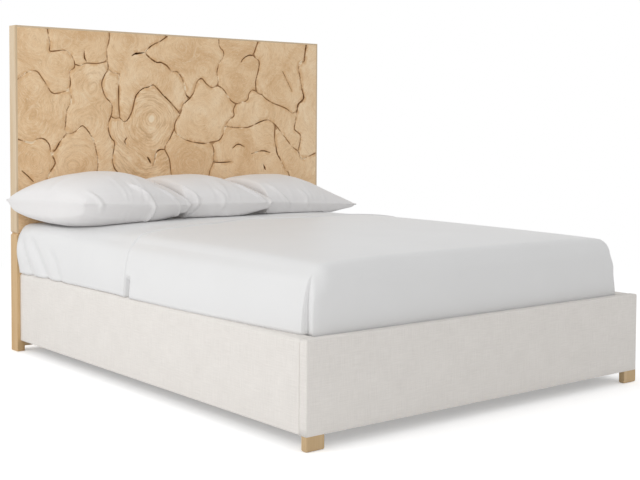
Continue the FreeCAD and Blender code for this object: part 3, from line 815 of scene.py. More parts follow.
# The board behind the slabs is near black-brown: painted shade seen through the cracks.
CRACK_SHADE_BOARD = BarkAndCrackShade("crack_shade_board", (0.16, 0.062, 0.014))
EDGE_TONES = ((0.71, 0.57, 0.40), (0.62, 0.46, 0.28))
PINE_TONES = ((0.79, 0.62, 0.38), (0.68, 0.47, 0.24))
EDGE_UPRIGHT = StraightGrain("edge_oak_upright", *EDGE_TONES, Grain.UP)
EDGE_LEVEL = StraightGrain("edge_oak_level", *EDGE_TONES, Grain.ACROSS)
LEG_OAK = StraightGrain("leg_oak", (0.72, 0.51, 0.28), (0.58, 0.37, 0.17), Grain.UP)
BLOCK_OAK = StraightGrain("block_oak", (0.68, 0.50, 0.29), (0.55, 0.38, 0.20), Grain.UP)
PANEL_VENEER = StraightGrain("panel_veneer", (0.68, 0.52, 0.34), (0.57, 0.41, 0.24), Grain.UP, 0.6)
RAIL_PLY = StraightGrain("rail_ply", (0.66, 0.50, 0.32), (0.55, 0.39, 0.22), Grain.ALONG, 0.65)
SLAT_PINE = StraightGrain("slat_pine", *PINE_TONES, Grain.ACROSS, 0.6, 0.8)
BEAM_PINE = StraightGrain("beam_pine", *PINE_TONES, Grain.ALONG, 0.6, 0.8)
LINEN = LinenWeave("cover_linen", (0.885, 0.85, 0.81), (0.785, 0.75, 0.71))
SHEET_COTTON = SmoothCotton("sheet_cotton", (0.815, 0.815, 0.815), (0.80, 0.80, 0.80), 0.1, 0.45, 0.3)
PILLOW_COTTON = SmoothCotton("pillow_cotton", (0.838, 0.824, 0.820), (0.812, 0.798, 0.794))
TICKING = SmoothCotton("mattress_ticking", (0.78, 0.77, 0.74), (0.70, 0.69, 0.66), 0.1, 0.8)
STEEL = ZincSteel()
PLASTIC = MouldedPlastic()


# Studio


@dataclass(frozen=True)
class SoftLamp:
    """One square soft lamp: where it hangs, the point that it faces, its side and its watts."""

    name: str
    place: Place
    aim: Place
    size: float
    power: float

    def build(self) -> None:
        """Hang the lamp where the camera doesn't see it."""
        data = bpy.data.lights.new(self.name, "AREA")
        data.size = self.size
        data.energy = self.power
        lamp = bpy.data.objects.new(self.name, data)
        lamp.visible_camera = False
        way = Vector(self.aim) - Vector(self.place)
        turn = way.to_track_quat("-Z", "Y").to_matrix().to_4x4()
        lamp.matrix_world = Matrix.Translation(self.place) @ turn
        bpy.context.scene.collection.objects.link(lamp)


@dataclass
class Studio:
    """Camera at the photograph's place, pale floor, soft lamps."""

    eye: Place = (-3.0799, -3.8994, 1.0206)
    yaw: float = 0.6799
    pitch: float = -0.0485
    roll: float = 0.0055
    lens_mm: float = 65.37
    sensor_mm: float = 36.0
    shift_right: float = -0.0008
    shift_up: float = -0.0879
    floor_size: float = 60.0
    floor_drop: float = 0.001
    fade_start: float = 2.6
    fade_end: float = 4.2
    world_level: float = 0.69
    floor_seen: float = 1.55
    shadow_lift: float = 0.33
    floor_bounce: float = 0.90
    lamps: tuple[SoftLamp, ...] = (
        SoftLamp("left_high", (-4.0, 0.2, 2.4), (0.0, 0.3, 0.7), 2.0, 38.0),
        SoftLamp("near_low", (-4.6, -5.0, 0.7), (0.0, 0.0, 0.4), 1.5, 34.0),
    )

    def camera(self) -> None:
        """Make the camera and give it to the scene."""
        forward = Vector((math.sin(self.yaw) * math.cos(self.pitch),
                          math.cos(self.yaw) * math.cos(self.pitch), math.sin(self.pitch)))
        level = Vector((math.cos(self.yaw), -math.sin(self.yaw), 0.0))
        upright = level.cross(forward)
        right = math.cos(self.roll) * level + math.sin(self.roll) * upright
        up = math.cos(self.roll) * upright - math.sin(self.roll) * level
        turn = Matrix((right, up, -forward)).transposed().to_4x4()
        data = bpy.data.cameras.new("camera")
        data.sensor_width = self.sensor_mm
        data.lens = self.lens_mm
        data.shift_x = self.shift_right
        data.shift_y = self.shift_up
        camera = bpy.data.objects.new("camera", data)
        camera.matrix_world = Matrix.Translation(self.eye) @ turn
        bpy.context.scene.collection.objects.link(camera)
        bpy.context.scene.camera = camera

    def floor(self) -> None:
        """Lay a white floor that takes the bed's shadow."""
        bm = bmesh.new()
        bmesh.ops.create_grid(bm, x_segments=1, y_segments=1, size=self.floor_size / 2)
        bmesh.ops.translate(bm, vec=(0, 0, -self.floor_drop), verts=bm.verts)
        floor = make_piece(bm, "floor")
        graph = Graph("studio_floor")
        ray = graph.add("ShaderNodeLightPath", {}).outputs["Is Camera Ray"]
        lit = graph.add("ShaderNodeBsdfDiffuse", {"Color": (self.floor_seen,) * 3}).outputs[0]
        white = graph.add("ShaderNodeEmission", {"Color": (1.0, 1.0, 1.0), "Strength": 1.0}).outputs[0]
        away = graph.add("ShaderNodeVectorMath", {0: graph.place()}, operation="LENGTH").outputs[1]
        far = graph.span(away, self.fade_start, self.fade_end, self.shadow_lift)
        seen = graph.add("ShaderNodeMixShader", {0: far, 1: lit, 2: white}).outputs[0]
        bounce = graph.add("ShaderNodeBsdfDiffuse", {"Color": (self.floor_bounce,) * 3}).outputs[0]
        both = graph.add("ShaderNodeMixShader", {0: ray, 1: bounce, 2: seen}).outputs[0]
        graph.feed(graph.nodes["Material Output"].inputs[0], both)
        graph.nodes.remove(graph.surface)
        floor.data.materials.append(graph.material)

    def world(self) -> None:
        """White behind the bed for the camera, soft grey light for the bed."""
        world = bpy.data.worlds.new("studio")
        world.use_nodes = True
        nodes = world.node_tree.nodes
        links = world.node_tree.links
        light = nodes["Background"]
        light.inputs["Color"].default_value = (1.0, 1.0, 1.0, 1.0)
        light.inputs["Strength"].default_value = self.world_level
        seen = nodes.new("ShaderNodeBackground")
        seen.inputs["Strength"].default_value = 1.0
        seen.inputs["Color"].default_value = (1.0, 1.0, 1.0, 1.0)
        path = nodes.new("ShaderNodeLightPath")
        share = path.outputs["Is Camera Ray"]
        for name in ("Is Glossy Ray", "Is Transmission Ray"):
            either = nodes.new("ShaderNodeMath")
            either.operation = "MAXIMUM"
            links.new(share, either.inputs[0])
            links.new(path.outputs[name], either.inputs[1])
            share = either.outputs[0]
        both = nodes.new("ShaderNodeMixShader")
        links.new(share, both.inputs[0])
        links.new(light.outputs[0], both.inputs[1])
        links.new(seen.outputs[0], both.inputs[2])
        links.new(both.outputs[0], nodes["World Output"].inputs[0])
        bpy.context.scene.world = world

    def build(self) -> None:
        """Set up the whole studio."""
        bpy.context.scene.view_settings.view_transform = "Standard"
        self.camera()
        self.floor()
        self.world()
        for lamp in self.lamps:
            lamp.build()


# Headboard


@dataclass(frozen=True)
class SlabFigure:
    """How one slab's wood is drawn.

    Hearts are places on the slab face, as shares across from the left and down from the
    top. Strength sets how clear the rings are, and tone warms or pales the wood.
    """

    hearts: tuple[Range, ...]
    strength: float
    tone: float


SLAB_FIGURES = {
    "slab_top_left": SlabFigure(((0.045, 0.055), (0.115, 0.160)), 0.55, 0.02),
    "slab_upper_left": SlabFigure(((0.190, 0.050), (0.140, 0.060)), 0.45, 0.05),
    "slab_left_oval": SlabFigure(((0.040, 0.290), (0.045, 0.420)), 0.75, 0.03),
    "slab_lower_left": SlabFigure(((0.040, 0.665),), 0.70, 0.06),
    "slab_left_root": SlabFigure(((0.165, 0.660), (0.140, 0.850)), 0.80, 0.0),
    "slab_left_block": SlabFigure(((0.210, 0.285), (0.200, 0.450)), 0.85, 0.0),
    "slab_narrow_strip": SlabFigure(((0.282, 0.280),), 0.45, -0.08),
    "slab_big_round": SlabFigure(((0.397, 0.452),), 1.25, 0.0),
    "slab_tongue": SlabFigure(((0.322, 0.045), (0.372, 0.190)), 0.60, 0.0),
    "slab_top_middle": SlabFigure(((0.500, 0.050), (0.580, 0.170)), 0.60, 0.02),
    "slab_middle_round": SlabFigure(((0.580, 0.400),), 0.40, -0.05),
    "slab_arch": SlabFigure(((0.735, 0.190), (0.690, 0.240)), 0.45, 0.06),
    "slab_top_right": SlabFigure(((0.860, 0.260), (0.770, 0.040)), 0.50, 0.0),
    "slab_right_column": SlabFigure(((1.080, 0.330),), 0.50, -0.06),
    "slab_right_wave": SlabFigure(((0.790, 0.400),), 0.60, -0.02),
    "slab_lower_right_middle": SlabFigure(((0.710, 0.620), (0.820, 0.690)), 0.45, 0.0),
    "slab_lower_right": SlabFigure(((0.900, 0.660),), 0.50, -0.03),
    "slab_lower_middle": SlabFigure(((0.540, 0.680), (0.330, 0.700)), 0.55, 0.04),
}


@dataclass
class Headboard:
    """Slab face, its wooden edge boards and legs, and the boards behind."""

    cell: float = 0.018
    slab_ease: float = 0.0018
    front_facing: float = 0.99
    wall_facing: float = 0.3
    rim_width: float = 1.5
    rim_fall: float = 0.0022
    rim_reach: float = 0.016
    widest_seam: float = 0.009
    seam_turns: float = 14.0
    seam_close: float = 0.47
    close_mean: float = 0.72
    close_swing: float = 1.3
    close_most: float = 0.90
    least_out: float = 0.2
    board_ease: float = 0.0015

    def __post_init__(self) -> None:
        """Keep the box that all slabs fill together."""
        self.face = self.face_box()

    def face_box(self) -> tuple[Vector, Vector]:
        """Lowest and highest corner of all slabs together.

        Returns:
            The two corners.
        """
        boxes = [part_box(node) for node in SLAB_FIGURES]
        low = Vector(min(low[axis] for low, high in boxes) for axis in range(3))
        high = Vector(max(high[axis] for low, high in boxes) for axis in range(3))
        return low, high

    def at_border(self, place: Vector) -> bool:
        """True where a place lies on the joint between the slabs and their frame boards."""
        low, high = self.face
        return min(abs(place.x - low.x), abs(place.x - high.x), abs(place.z - high.z)) < MERGE

    def slab_mesh(self, node: str) -> tuple[bmesh.types.BMesh, np.ndarray]:
        """Copy a slab, ease its front rim and cut its face into small cells.

        Args:
            node: CAD node of the slab.

        Returns:
            The mesh, with crack walls on material index 1, and the short straight runs of
            the slab's outline, each as X, Z to X, Z.
        """
        bm = solid_copy(node)
        bm.normal_update()
        rim = [edge for edge in bm.edges
               if sum(face.normal.y < -self.front_facing for face in edge.link_faces) == 1
               and not all(self.at_border(vert.co) for vert in edge.verts)]
        round_edges(bm, rim, self.slab_ease, 2, clamp=False)
        low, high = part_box(node)
        slice_up(bm, 0, np.arange(low.x + self.cell, high.x, self.cell))
        slice_up(bm, 2, np.arange(low.z + self.cell, high.z, self.cell))
        bm.normal_update()
        for face in bm.faces:
            face.material_index = int(face.normal.y > -self.wall_facing)
        outline = [[*edge.verts[0].co.xz, *edge.verts[1].co.xz] for edge in bm.edges
                   if sum(face.normal.y > FACING for face in edge.link_faces) == 1
                   and not all(self.at_border(vert.co) for vert in edge.verts)]
        return bm, np.array(outline)

    def from_runs(self, points: np.ndarray, runs: np.ndarray) -> np.ndarray:
        """Distance from points on the face to the nearest of some straight runs.

        Args:
            points: Rows of X, Z.
            runs: Rows of X, Z to X, Z.

        Returns:
            One distance for each point.
        """
        nearest = np.full(len(points), np.inf)
        for begin, run in zip(runs[:, :2], runs[:, 2:] - runs[:, :2]):
            share = np.clip(((points - begin) @ run) / max(run @ run, 1e-12), 0.0, 1.0)
            nearest = np.minimum(nearest, np.linalg.norm(points - begin - share[:, None] * run, axis=1))
        return nearest

    def work_rim(self, bm: bmesh.types.BMesh, rim: np.ndarray, others: np.ndarray) -> None:
        """Round the slab's face off towards its rim, and let the seams widen and narrow.

        Args:
            bm: The slab.
            rim: Distance of each vertex from the slab's own outline.
            others: Outlines of all other slabs.
        """
        front = min(vert.co.y for vert in bm.verts)
        edge = [vert for vert in bm.verts if rim[vert.index] < self.rim_width * self.slab_ease]
        places = np.array([vert.co.xz for vert in edge])
        near = (np.abs(others[:, :2] - places.mean(0)) < np.ptp(places, axis=0)).all(1)
        gaps = self.from_runs(places, others[near])
        bm.normal_update()
        for vert, gap in zip(edge, gaps):
            out = Vector((vert.normal.x, 0.0, vert.normal.z))
            wander = noise.noise(vert.co * Vector((self.seam_turns, 0.0, self.seam_turns)))
            if gap < self.widest_seam and out.length > self.least_out:
                own = gap - rim[vert.index]
                share = min(max(self.close_mean + self.close_swing * wander, 0.0), self.close_most)
                vert.co += out.normalized() * own * (self.seam_close * share)
        low, high = self.face
        for vert in bm.verts:
            inside = min(vert.co.x - low.x, high.x - vert.co.x, vert.co.z - low.z, high.z - vert.co.z)
            if vert.co.y < front + self.slab_ease and inside > self.rim_reach:
                share = max(1.0 - rim[vert.index] / self.rim_reach, 0.0)
                vert.co.y += self.rim_fall * share * share

    def draw_figure(self, mesh: bpy.types.Mesh, figure: SlabFigure, rim: np.ndarray) -> None:
        """Store hearts, rim distance, tone and ring strength on a slab's vertices.

        Args:
            mesh: The slab.
            figure: Its hearts, ring strength and tone.
            rim: Distance of each vertex from the slab's outline.
        """
        low, high = self.face
        for name, (across, down) in zip(("heart_a", "heart_b"), (figure.hearts * 2)[:2]):
            heart = (low.x + across * (high.x - low.x), 0.0, high.z - down * (high.z - low.z))
            attribute = mesh.attributes.new(name, "FLOAT_VECTOR", "POINT")
            attribute.data.foreach_set("vector", np.tile(heart, len(rim)).astype(np.float32))
        write_attribute(mesh, "rim", rim)
        write_attribute(mesh, "tone", np.full(len(rim), figure.tone))
        write_attribute(mesh, "figure", np.full(len(rim), figure.strength))

    def slabs(self) -> None:
        """Build and dress every slab of the face."""
        made = {node: self.slab_mesh(node) for node in SLAB_FIGURES}
        for node, (bm, outline) in made.items():
            others = np.concatenate([other[1] for name, other in made.items() if name != node])
            rim = self.from_runs(np.array([vert.co.xz for vert in bm.verts]), outline)
            bm.verts.index_update()
            self.work_rim(bm, rim, others)
            piece = make_piece(bm, "root_" + node, smooth=True)
            piece.data.set_sharp_from_angle(angle=SHARP_ANGLE)
            self.draw_figure(piece.data, SLAB_FIGURES[node], rim)
            settle(piece, "frame", (SLAB_WOOD, CRACK_WALL), [node])

    def boards(self) -> None:
        """Ease the edges of the boards and legs that frame the slabs, and dress the rest."""
        for side in Side:
            edge_board = side.word + "_headboard_edge"
            eased_copy(edge_board, EDGE_UPRIGHT, self.board_ease, self.at_border)
            eased_copy(side.word + "_headboard_leg", LEG_OAK, self.board_ease)
        eased_copy("headboard_top_edge", EDGE_LEVEL, self.board_ease, self.at_border)
        # The core takes a dark colour as painted shade in the cracks.
        dress_node("headboard_core", CRACK_SHADE_BOARD)
        dress_node("headboard_lower_rail", PANEL_VENEER)
        dress_node("headboard_back_panel", PANEL_VENEER)

    def build(self) -> None:
        """Build the whole headboard."""
        self.slabs()
        self.boards()


def dress_node(node: str, finish: Finish) -> None:
    """Give a CAD node that keeps its shape a better material.

    Args:
        node: Name of the node.
        finish: Its new finish.
    """
    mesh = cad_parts[node].data
    mesh.materials.clear()
    mesh.materials.append(material_of(finish))
    LOG.info("%s keeps its solid and takes %s", node, material_of(finish).name)


def eased_copy(node: str, finish: Finish, radius: float,
               square: Callable[[Vector], bool] = lambda place: False) -> None:
    """Replace a wooden node by a copy with softly rounded edges.

    Args:
        node: CAD node to copy.
        finish: Wood finish.
        radius: Radius of the edges.
        square: Says of a place whether edges there stay sharp.
    """
    bm = solid_copy(node)
    sharp = [edge for edge in bm.edges
             if len(edge.link_faces) == 2 and edge.calc_face_angle() > EDGE_ANGLE
             and not all(square(vert.co) for vert in edge.verts)]
    round_edges(bm, sharp, radius, 3)
    piece = make_piece(bm, "eased_" + node)
    settle(piece, "frame", (finish,), [node])


# Upholstery


@dataclass
class SideRail:
    """One upholstered rail: a padded linen cover round its board."""

    side: Side
    top_radius: float = 0.016
    low_radius: float = 0.004
    end_radius: float = 0.004
    cell: float = 0.03
    hem_drop: float = 0.055
    give: float = 0.0012
    give_mean: float = 0.3
    give_waves: tuple[Wave, ...] = ((9.0, 0.0, 0.4), (23.0, 1.0, 0.25))
    give_foot: float = 0.06
    give_top: float = 0.30

    def outline(self) -> list[tuple[float, float]]:
        """Corners of the cover's section, out from the middle of the bed and up.

        Returns:
            Pairs of places, in order round the section.
        """
        low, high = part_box(self.side.word + "_rail_cover")
        board_low, board_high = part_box(self.side.word + "_rail_board")
        outer = max(abs(low.x), abs(high.x))
        inner = min(abs(low.x), abs(high.x))
        board = sorted((abs(board_low.x), abs(board_high.x)))
        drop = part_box(self.side.word + "_rail_padding")[0].z
        hem = high.z - self.hem_drop
        return [(outer, low.z), (outer, high.z), (inner, high.z), (inner, hem), (board[0], hem),
                (board[0], board_high.z), (board[1], board_high.z), (board[1], drop),
                (board[0], drop), (board[0], low.z)]

    def mesh(self) -> bmesh.types.BMesh:
        """Draw the section, run it along the bed, round its edges and cut it into cells.

        Returns:
            The cover.
        """
        low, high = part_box(self.side.word + "_rail_cover")
        bm = bmesh.new()
        corners = [bm.verts.new((self.side.value * out, low.y, up)) for out, up in self.outline()]
        sides = [bm.edges.new((start, end)) for start, end in zip(corners, corners[1:] + corners[:1])]
        section = bmesh.ops.contextual_create(bm, geom=sides)["faces"]
        run = bmesh.ops.extrude_face_region(bm, geom=section)["geom"]
        bmesh.ops.translate(bm, vec=(0, high.y - low.y, 0), verts=verts_of(run))
        bmesh.ops.recalc_face_normals(bm, faces=bm.faces)
        outer = max(abs(low.x), abs(high.x))
        tops = [edge for edge in edges_where(bm, lambda co: abs(co.z - high.z) < MERGE)
                if abs(edge.verts[0].co.x - edge.verts[1].co.x) < MERGE]
        round_edges(bm, tops, self.top_radius, 8)
        foot = edges_where(bm, lambda co: abs(co.z - low.z) < MERGE and abs(abs(co.x) - outer) < MERGE)
        round_edges(bm, foot, self.low_radius, 4)
        ends = [edge for edge in edges_where(bm, lambda co: abs(co.y - low.y) < MERGE)
                if max(abs(vert.co.x) for vert in edge.verts) > outer - self.top_radius - MERGE]
        round_edges(bm, ends, self.end_radius, 3)
        slice_up(bm, 1, np.arange(low.y + self.cell, high.y, self.cell))
        slice_up(bm, 2, np.arange(low.z + self.cell, high.z - self.top_radius, self.cell))
        return bm

    def soften(self, piece: bpy.types.Object) -> None:
        """Let the padding show as a faint swell along the outer face and top.

        Args:
            piece: The rail's cover.
        """
        points = read_points(piece.data)
        low, high = points.min(0), points.max(0)
        outer = np.abs(points[:, 0]) > np.abs(points[:, 0]).max() - self.top_radius
        swell = ripples(points[:, 1] - low[1], self.give_waves)
        height = smooth_rise(points[:, 2], low[2], low[2] + self.give_foot)
        height = height * smooth_rise(points[:, 2], high[2], self.give_top)
        points[:, 0] += self.side.value * outer * height * self.give * (self.give_mean + swell)
        write_points(piece.data, points)

    def build(self) -> None:
        """Build and dress the rail's cover."""
        word = self.side.word
        bm = self.mesh()
        unwrap_by_side(bm, "cloth")
        piece = make_piece(bm, word + "_rail_upholstery", smooth=True)
        self.soften(piece)
        settle(piece, "frame", (LINEN,), [word + "_rail_cover", word + "_rail_padding"])
        dress_node(word + "_rail_board", RAIL_PLY)
        dress_node(word + "_ledger", BEAM_PINE)


@dataclass
class Footboard:
    """The upholstered board across the foot."""

    edge_radius: float = 0.006
    low_radius: float = 0.002
    back_radius: float = 0.003
    back_gap: float = 0.001
    block_ease: float = 0.0015
    cell: float = 0.03

    def mesh(self) -> bmesh.types.BMesh:
        """Wrap a thin block, and let its back stand out between the rails.

        Returns:
            The cover.
        """
        low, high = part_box("footboard_cover")
        rail_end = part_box("left_rail_cover")[0].y
        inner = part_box("left_rail_cover")[1].x
        bm = block(Vector(low), Vector((high.x, rail_end, high.z)))

        def at_foot(co: Vector) -> bool:
            """True on the front's lower edge."""
            return abs(co.y - low.y) < MERGE and abs(co.z - low.z) < MERGE

        front = edges_where(bm, lambda co: abs(co.y - low.y) < MERGE)
        top = edges_where(bm, lambda co: abs(co.z - high.z) < MERGE)
        foot = edges_where(bm, at_foot)
        rims = [edge for edge in bm.edges if (edge in front or edge in top) and edge not in foot]
        round_edges(bm, rims, self.edge_radius, 6)
        round_edges(bm, edges_where(bm, at_foot), self.low_radius, 2)
        back = [edge for edge in edges_where(bm, lambda co: abs(co.y - rail_end) < MERGE)
                if abs(edge.verts[0].co.x - edge.verts[1].co.x) < MERGE]
        round_edges(bm, back, self.back_radius, 3)
        pad_side = -inner - self.back_gap
        slice_up(bm, 0, (-pad_side, pad_side))
        bm.normal_update()
        middle = [face for face in bm.faces
                  if face.normal.y > FACING and abs(face.calc_center_median().x) < pad_side]
        pad = bmesh.ops.extrude_face_region(bm, geom=middle)["geom"]
        bmesh.ops.translate(bm, vec=(0, high.y - rail_end, 0), verts=verts_of(pad))
        bmesh.ops.delete(bm, geom=middle, context="FACES_ONLY")
        slice_up(bm, 0, np.arange(low.x + self.cell, high.x, self.cell))
        slice_up(bm, 2, np.arange(low.z + self.cell, high.z - self.edge_radius, self.cell))
        return bm

    def build(self) -> None:
        """Build and dress the footboard's cover and its two foot blocks."""
        bm = self.mesh()
        unwrap_by_side(bm, "cloth")
        piece = make_piece(bm, "footboard_upholstery", smooth=True)
        settle(piece, "frame", (LINEN,), ["footboard_cover", "footboard_padding"])
        dress_node("footboard_board", RAIL_PLY)
        for side in Side:
            eased_copy(side.word + "_foot_block", BLOCK_OAK, self.block_ease)


@dataclass
class SlattedBase:
    """Slats, beam, centre leg and the hardware that holds them."""

    slat_count: int = 9
    ease: float = 0.002

    def build(self) -> None:
        """Dress the base; the slats get eased edges."""
        for index in range(self.slat_count):
            eased_copy("slat_" + str(index + 1), SLAT_PINE, self.ease)
        dress_node("center_beam", BEAM_PINE)
        dress_node("center_leg", LEG_OAK)
        dress_node("leveling_foot", PLASTIC)
        for node in ("corner_brackets", "bracket_bolts", "slat_screws"):
            dress_node(node, STEEL)


# Bedding


@dataclass
class MattressForm:
    """The crowned mattress shape that sheets lie on."""

    crown: float = 0.022
    crown_power: float = 5.0
    crown_reach: float = 1.5
    loft: float = 0.015
    loft_power: int = 8
    radius: float = 0.055
    foot_radius: float = 0.045
    head_radius: float = 0.014
    upright_radius: float = 0.014
    upright_fade: Range = (0.04, 0.11)
    foot_sag: float = 0.5
    foot_sag_run: float = 0.10
    foot_tuck: float = 0.006
    foot_tuck_heights: Range = (0.52, 0.34)
    foot_tuck_skin: float = 0.03
    open_drop: float = 1.0
    edge_fall: float = 4.0

    def corners(self) -> tuple[np.ndarray, np.ndarray]:
        """Lowest and highest corner of the mattress, its crown left off."""
        low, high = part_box("mattress")
        return np.array(low), np.array(high) - np.array((0.0, 0.0, self.crown))

    def swell(self, across: np.ndarray, along: np.ndarray) -> np.ndarray:
        """How far the top stands above its square edge at places across and along the bed.

        Args:
            across: Places across the bed.
            along: Places along the bed.

        Returns:
            Heights in metres.
        """
        low, high = self.corners()
        side = np.clip(np.abs(across) / high[0], 0.0, 1.0)
        length = np.clip((along - low[1]) / (high[1] - low[1]), 0.0, 1.0)
        middle = np.clip(4.0 * length * (1.0 - length), 0.0, 1.0)
        foot = 1.0 - self.foot_sag * np.exp(-np.maximum(along - low[1], 0.0) / self.foot_sag_run)
        crown = self.crown * foot * (1.0 - side ** self.crown_power)
        return crown + self.loft * middle * (1.0 - side ** self.loft_power)

    def sides(self, across: np.ndarray, edge: float) -> tuple[np.ndarray, np.ndarray]:
        """Shares of being at the mattress's left and right side, eased over an edge's width."""
        out = self.corners()[1][0]
        return smooth_rise(-across, out - edge, out), smooth_rise(across, out - edge, out)

    def shaped(self, points: np.ndarray, grow: float, reach: Optional[np.ndarray] = None,
               open_foot: bool = True) -> np.ndarray:
        """Move points of a sharp box onto the mattress, swollen by a little.

        Args:
            points: Places on the sharp, swollen box.
            grow: Swelling on every side.
            reach: How far the left side stands out further, for each point.
            open_foot: True where the lower edges stay square.

        Returns:
            Places on the crowned, round-edged form.
        """
        low, high = self.corners()
        lows = np.repeat((low - grow)[None], len(points), 0)
        highs = np.repeat((high + grow)[None], len(points), 0)
        if reach is not None:
            lows[:, 0] -= reach
        if open_foot:
            lows[:, 2] -= self.open_drop
        radii = np.full(points.shape, self.radius + grow)
        radii[:, 1] = grow + np.where(points[:, 1] > 0, self.head_radius, self.foot_radius)
        start, end = self.upright_fade
        upright = smooth_rise(points[:, 2], high[2] - start, high[2] - end) * (points[:, 1] < 0)
        radii[:, :2] += (self.upright_radius - radii[:, :2]) * upright[:, None]
        shape = rounded_block(points, lows, highs, radii)
        up = smooth_rise(shape[:, 2], high[2] - self.crown_reach * self.radius, high[2] + grow)
        shape[:, 2] += self.swell(shape[:, 0], shape[:, 1]) * up
        foot_face = smooth_rise(shape[:, 1], low[1] + self.foot_tuck_skin, low[1])
        shape[:, 1] += self.foot_tuck * foot_face * smooth_rise(points[:, 2], *self.foot_tuck_heights)
        return shape

    def top(self, across: np.ndarray, along: np.ndarray, reach: np.ndarray) -> np.ndarray:
        """Height of the made-up top at places on the bed; it falls away past the edge.

        Args:
            across: Places across the bed.
            along: Places along the bed.
            reach: How far the loose sheet stands out further on the left.

        Returns:
            Heights in metres.
        """
        high = self.corners()[1]
        side = high[0] + np.where(across < 0, reach, 0.0)
        turn = np.clip((np.abs(across) - side + self.radius) / self.radius, 0.0, 1.0)
        drop = self.radius * (1.0 - np.sqrt(np.maximum(1.0 - turn ** 2, 0.0)))
        past = np.maximum(np.abs(across) - side, 0.0)
        return high[2] + self.swell(across, along) - drop - self.edge_fall * past


@dataclass
class Mattress:
    """The mattress itself, under its sheets."""

    form: MattressForm
    shrink: float = 0.0006
    cuts: tuple[int, int, int] = (40, 50, 12)

    def build(self) -> None:
        """Build and dress the mattress."""
        low, high = self.form.corners()
        bm = block(Vector(low + self.shrink), Vector(high - self.shrink))
        divide(bm, self.cuts)
        piece = make_piece(bm, "mattress_body", smooth=True)
        points = read_points(piece.data)
        write_points(piece.data, self.form.shaped(points, -self.shrink, open_foot=False))
        settle(piece, "bedding", (TICKING,), ["mattress"])


@dataclass(frozen=True)
class LooseFold:
    """A crease in hanging cloth: where it starts and ends along the bed and up, and its size."""

    top: Range
    foot: Range
    depth: float
    width: float
    steepness: float = 1.8
    furthest: float = 1.2
    fade: float = 0.55

    def depth_at(self, along: np.ndarray, up: np.ndarray) -> np.ndarray:
        """How deep the crease is at places along the bed and up.

        Args:
            along: Places along the bed.
            up: Heights.

        Returns:
            Depths in metres.
        """
        share = np.clip((self.top[1] - up) / (self.top[1] - self.foot[1]), 0.0, self.furthest)
        middle = self.top[0] + (self.foot[0] - self.top[0]) * share
        off = (along - middle) / self.width
        shape = np.where(off > 0, np.exp(-(off * self.steepness) ** 2), np.exp(-off ** 2))
        return self.depth * shape * smooth_rise(share, 0.0, self.fade)


FLARE_OUT = 0.019
FLARE_RISE = 0.11
FLARE_BACK = 0.014
FLARE_TURN = 0.035


def tuck_flare(height: np.ndarray, rest: float) -> np.ndarray:
    """How far cloth on the right bellies out, down to the rail's shoulder, and turns in below it.

    Args:
        height: Heights of points on the cloth.
        rest: Height at which the cloth meets the rail.

    Returns:
        Distances out from the mattress side.
    """
    out = smooth_rise(height, rest + FLARE_RISE, rest)
    back = smooth_rise(height, rest, rest - FLARE_TURN)
    return FLARE_OUT * out - FLARE_BACK * back


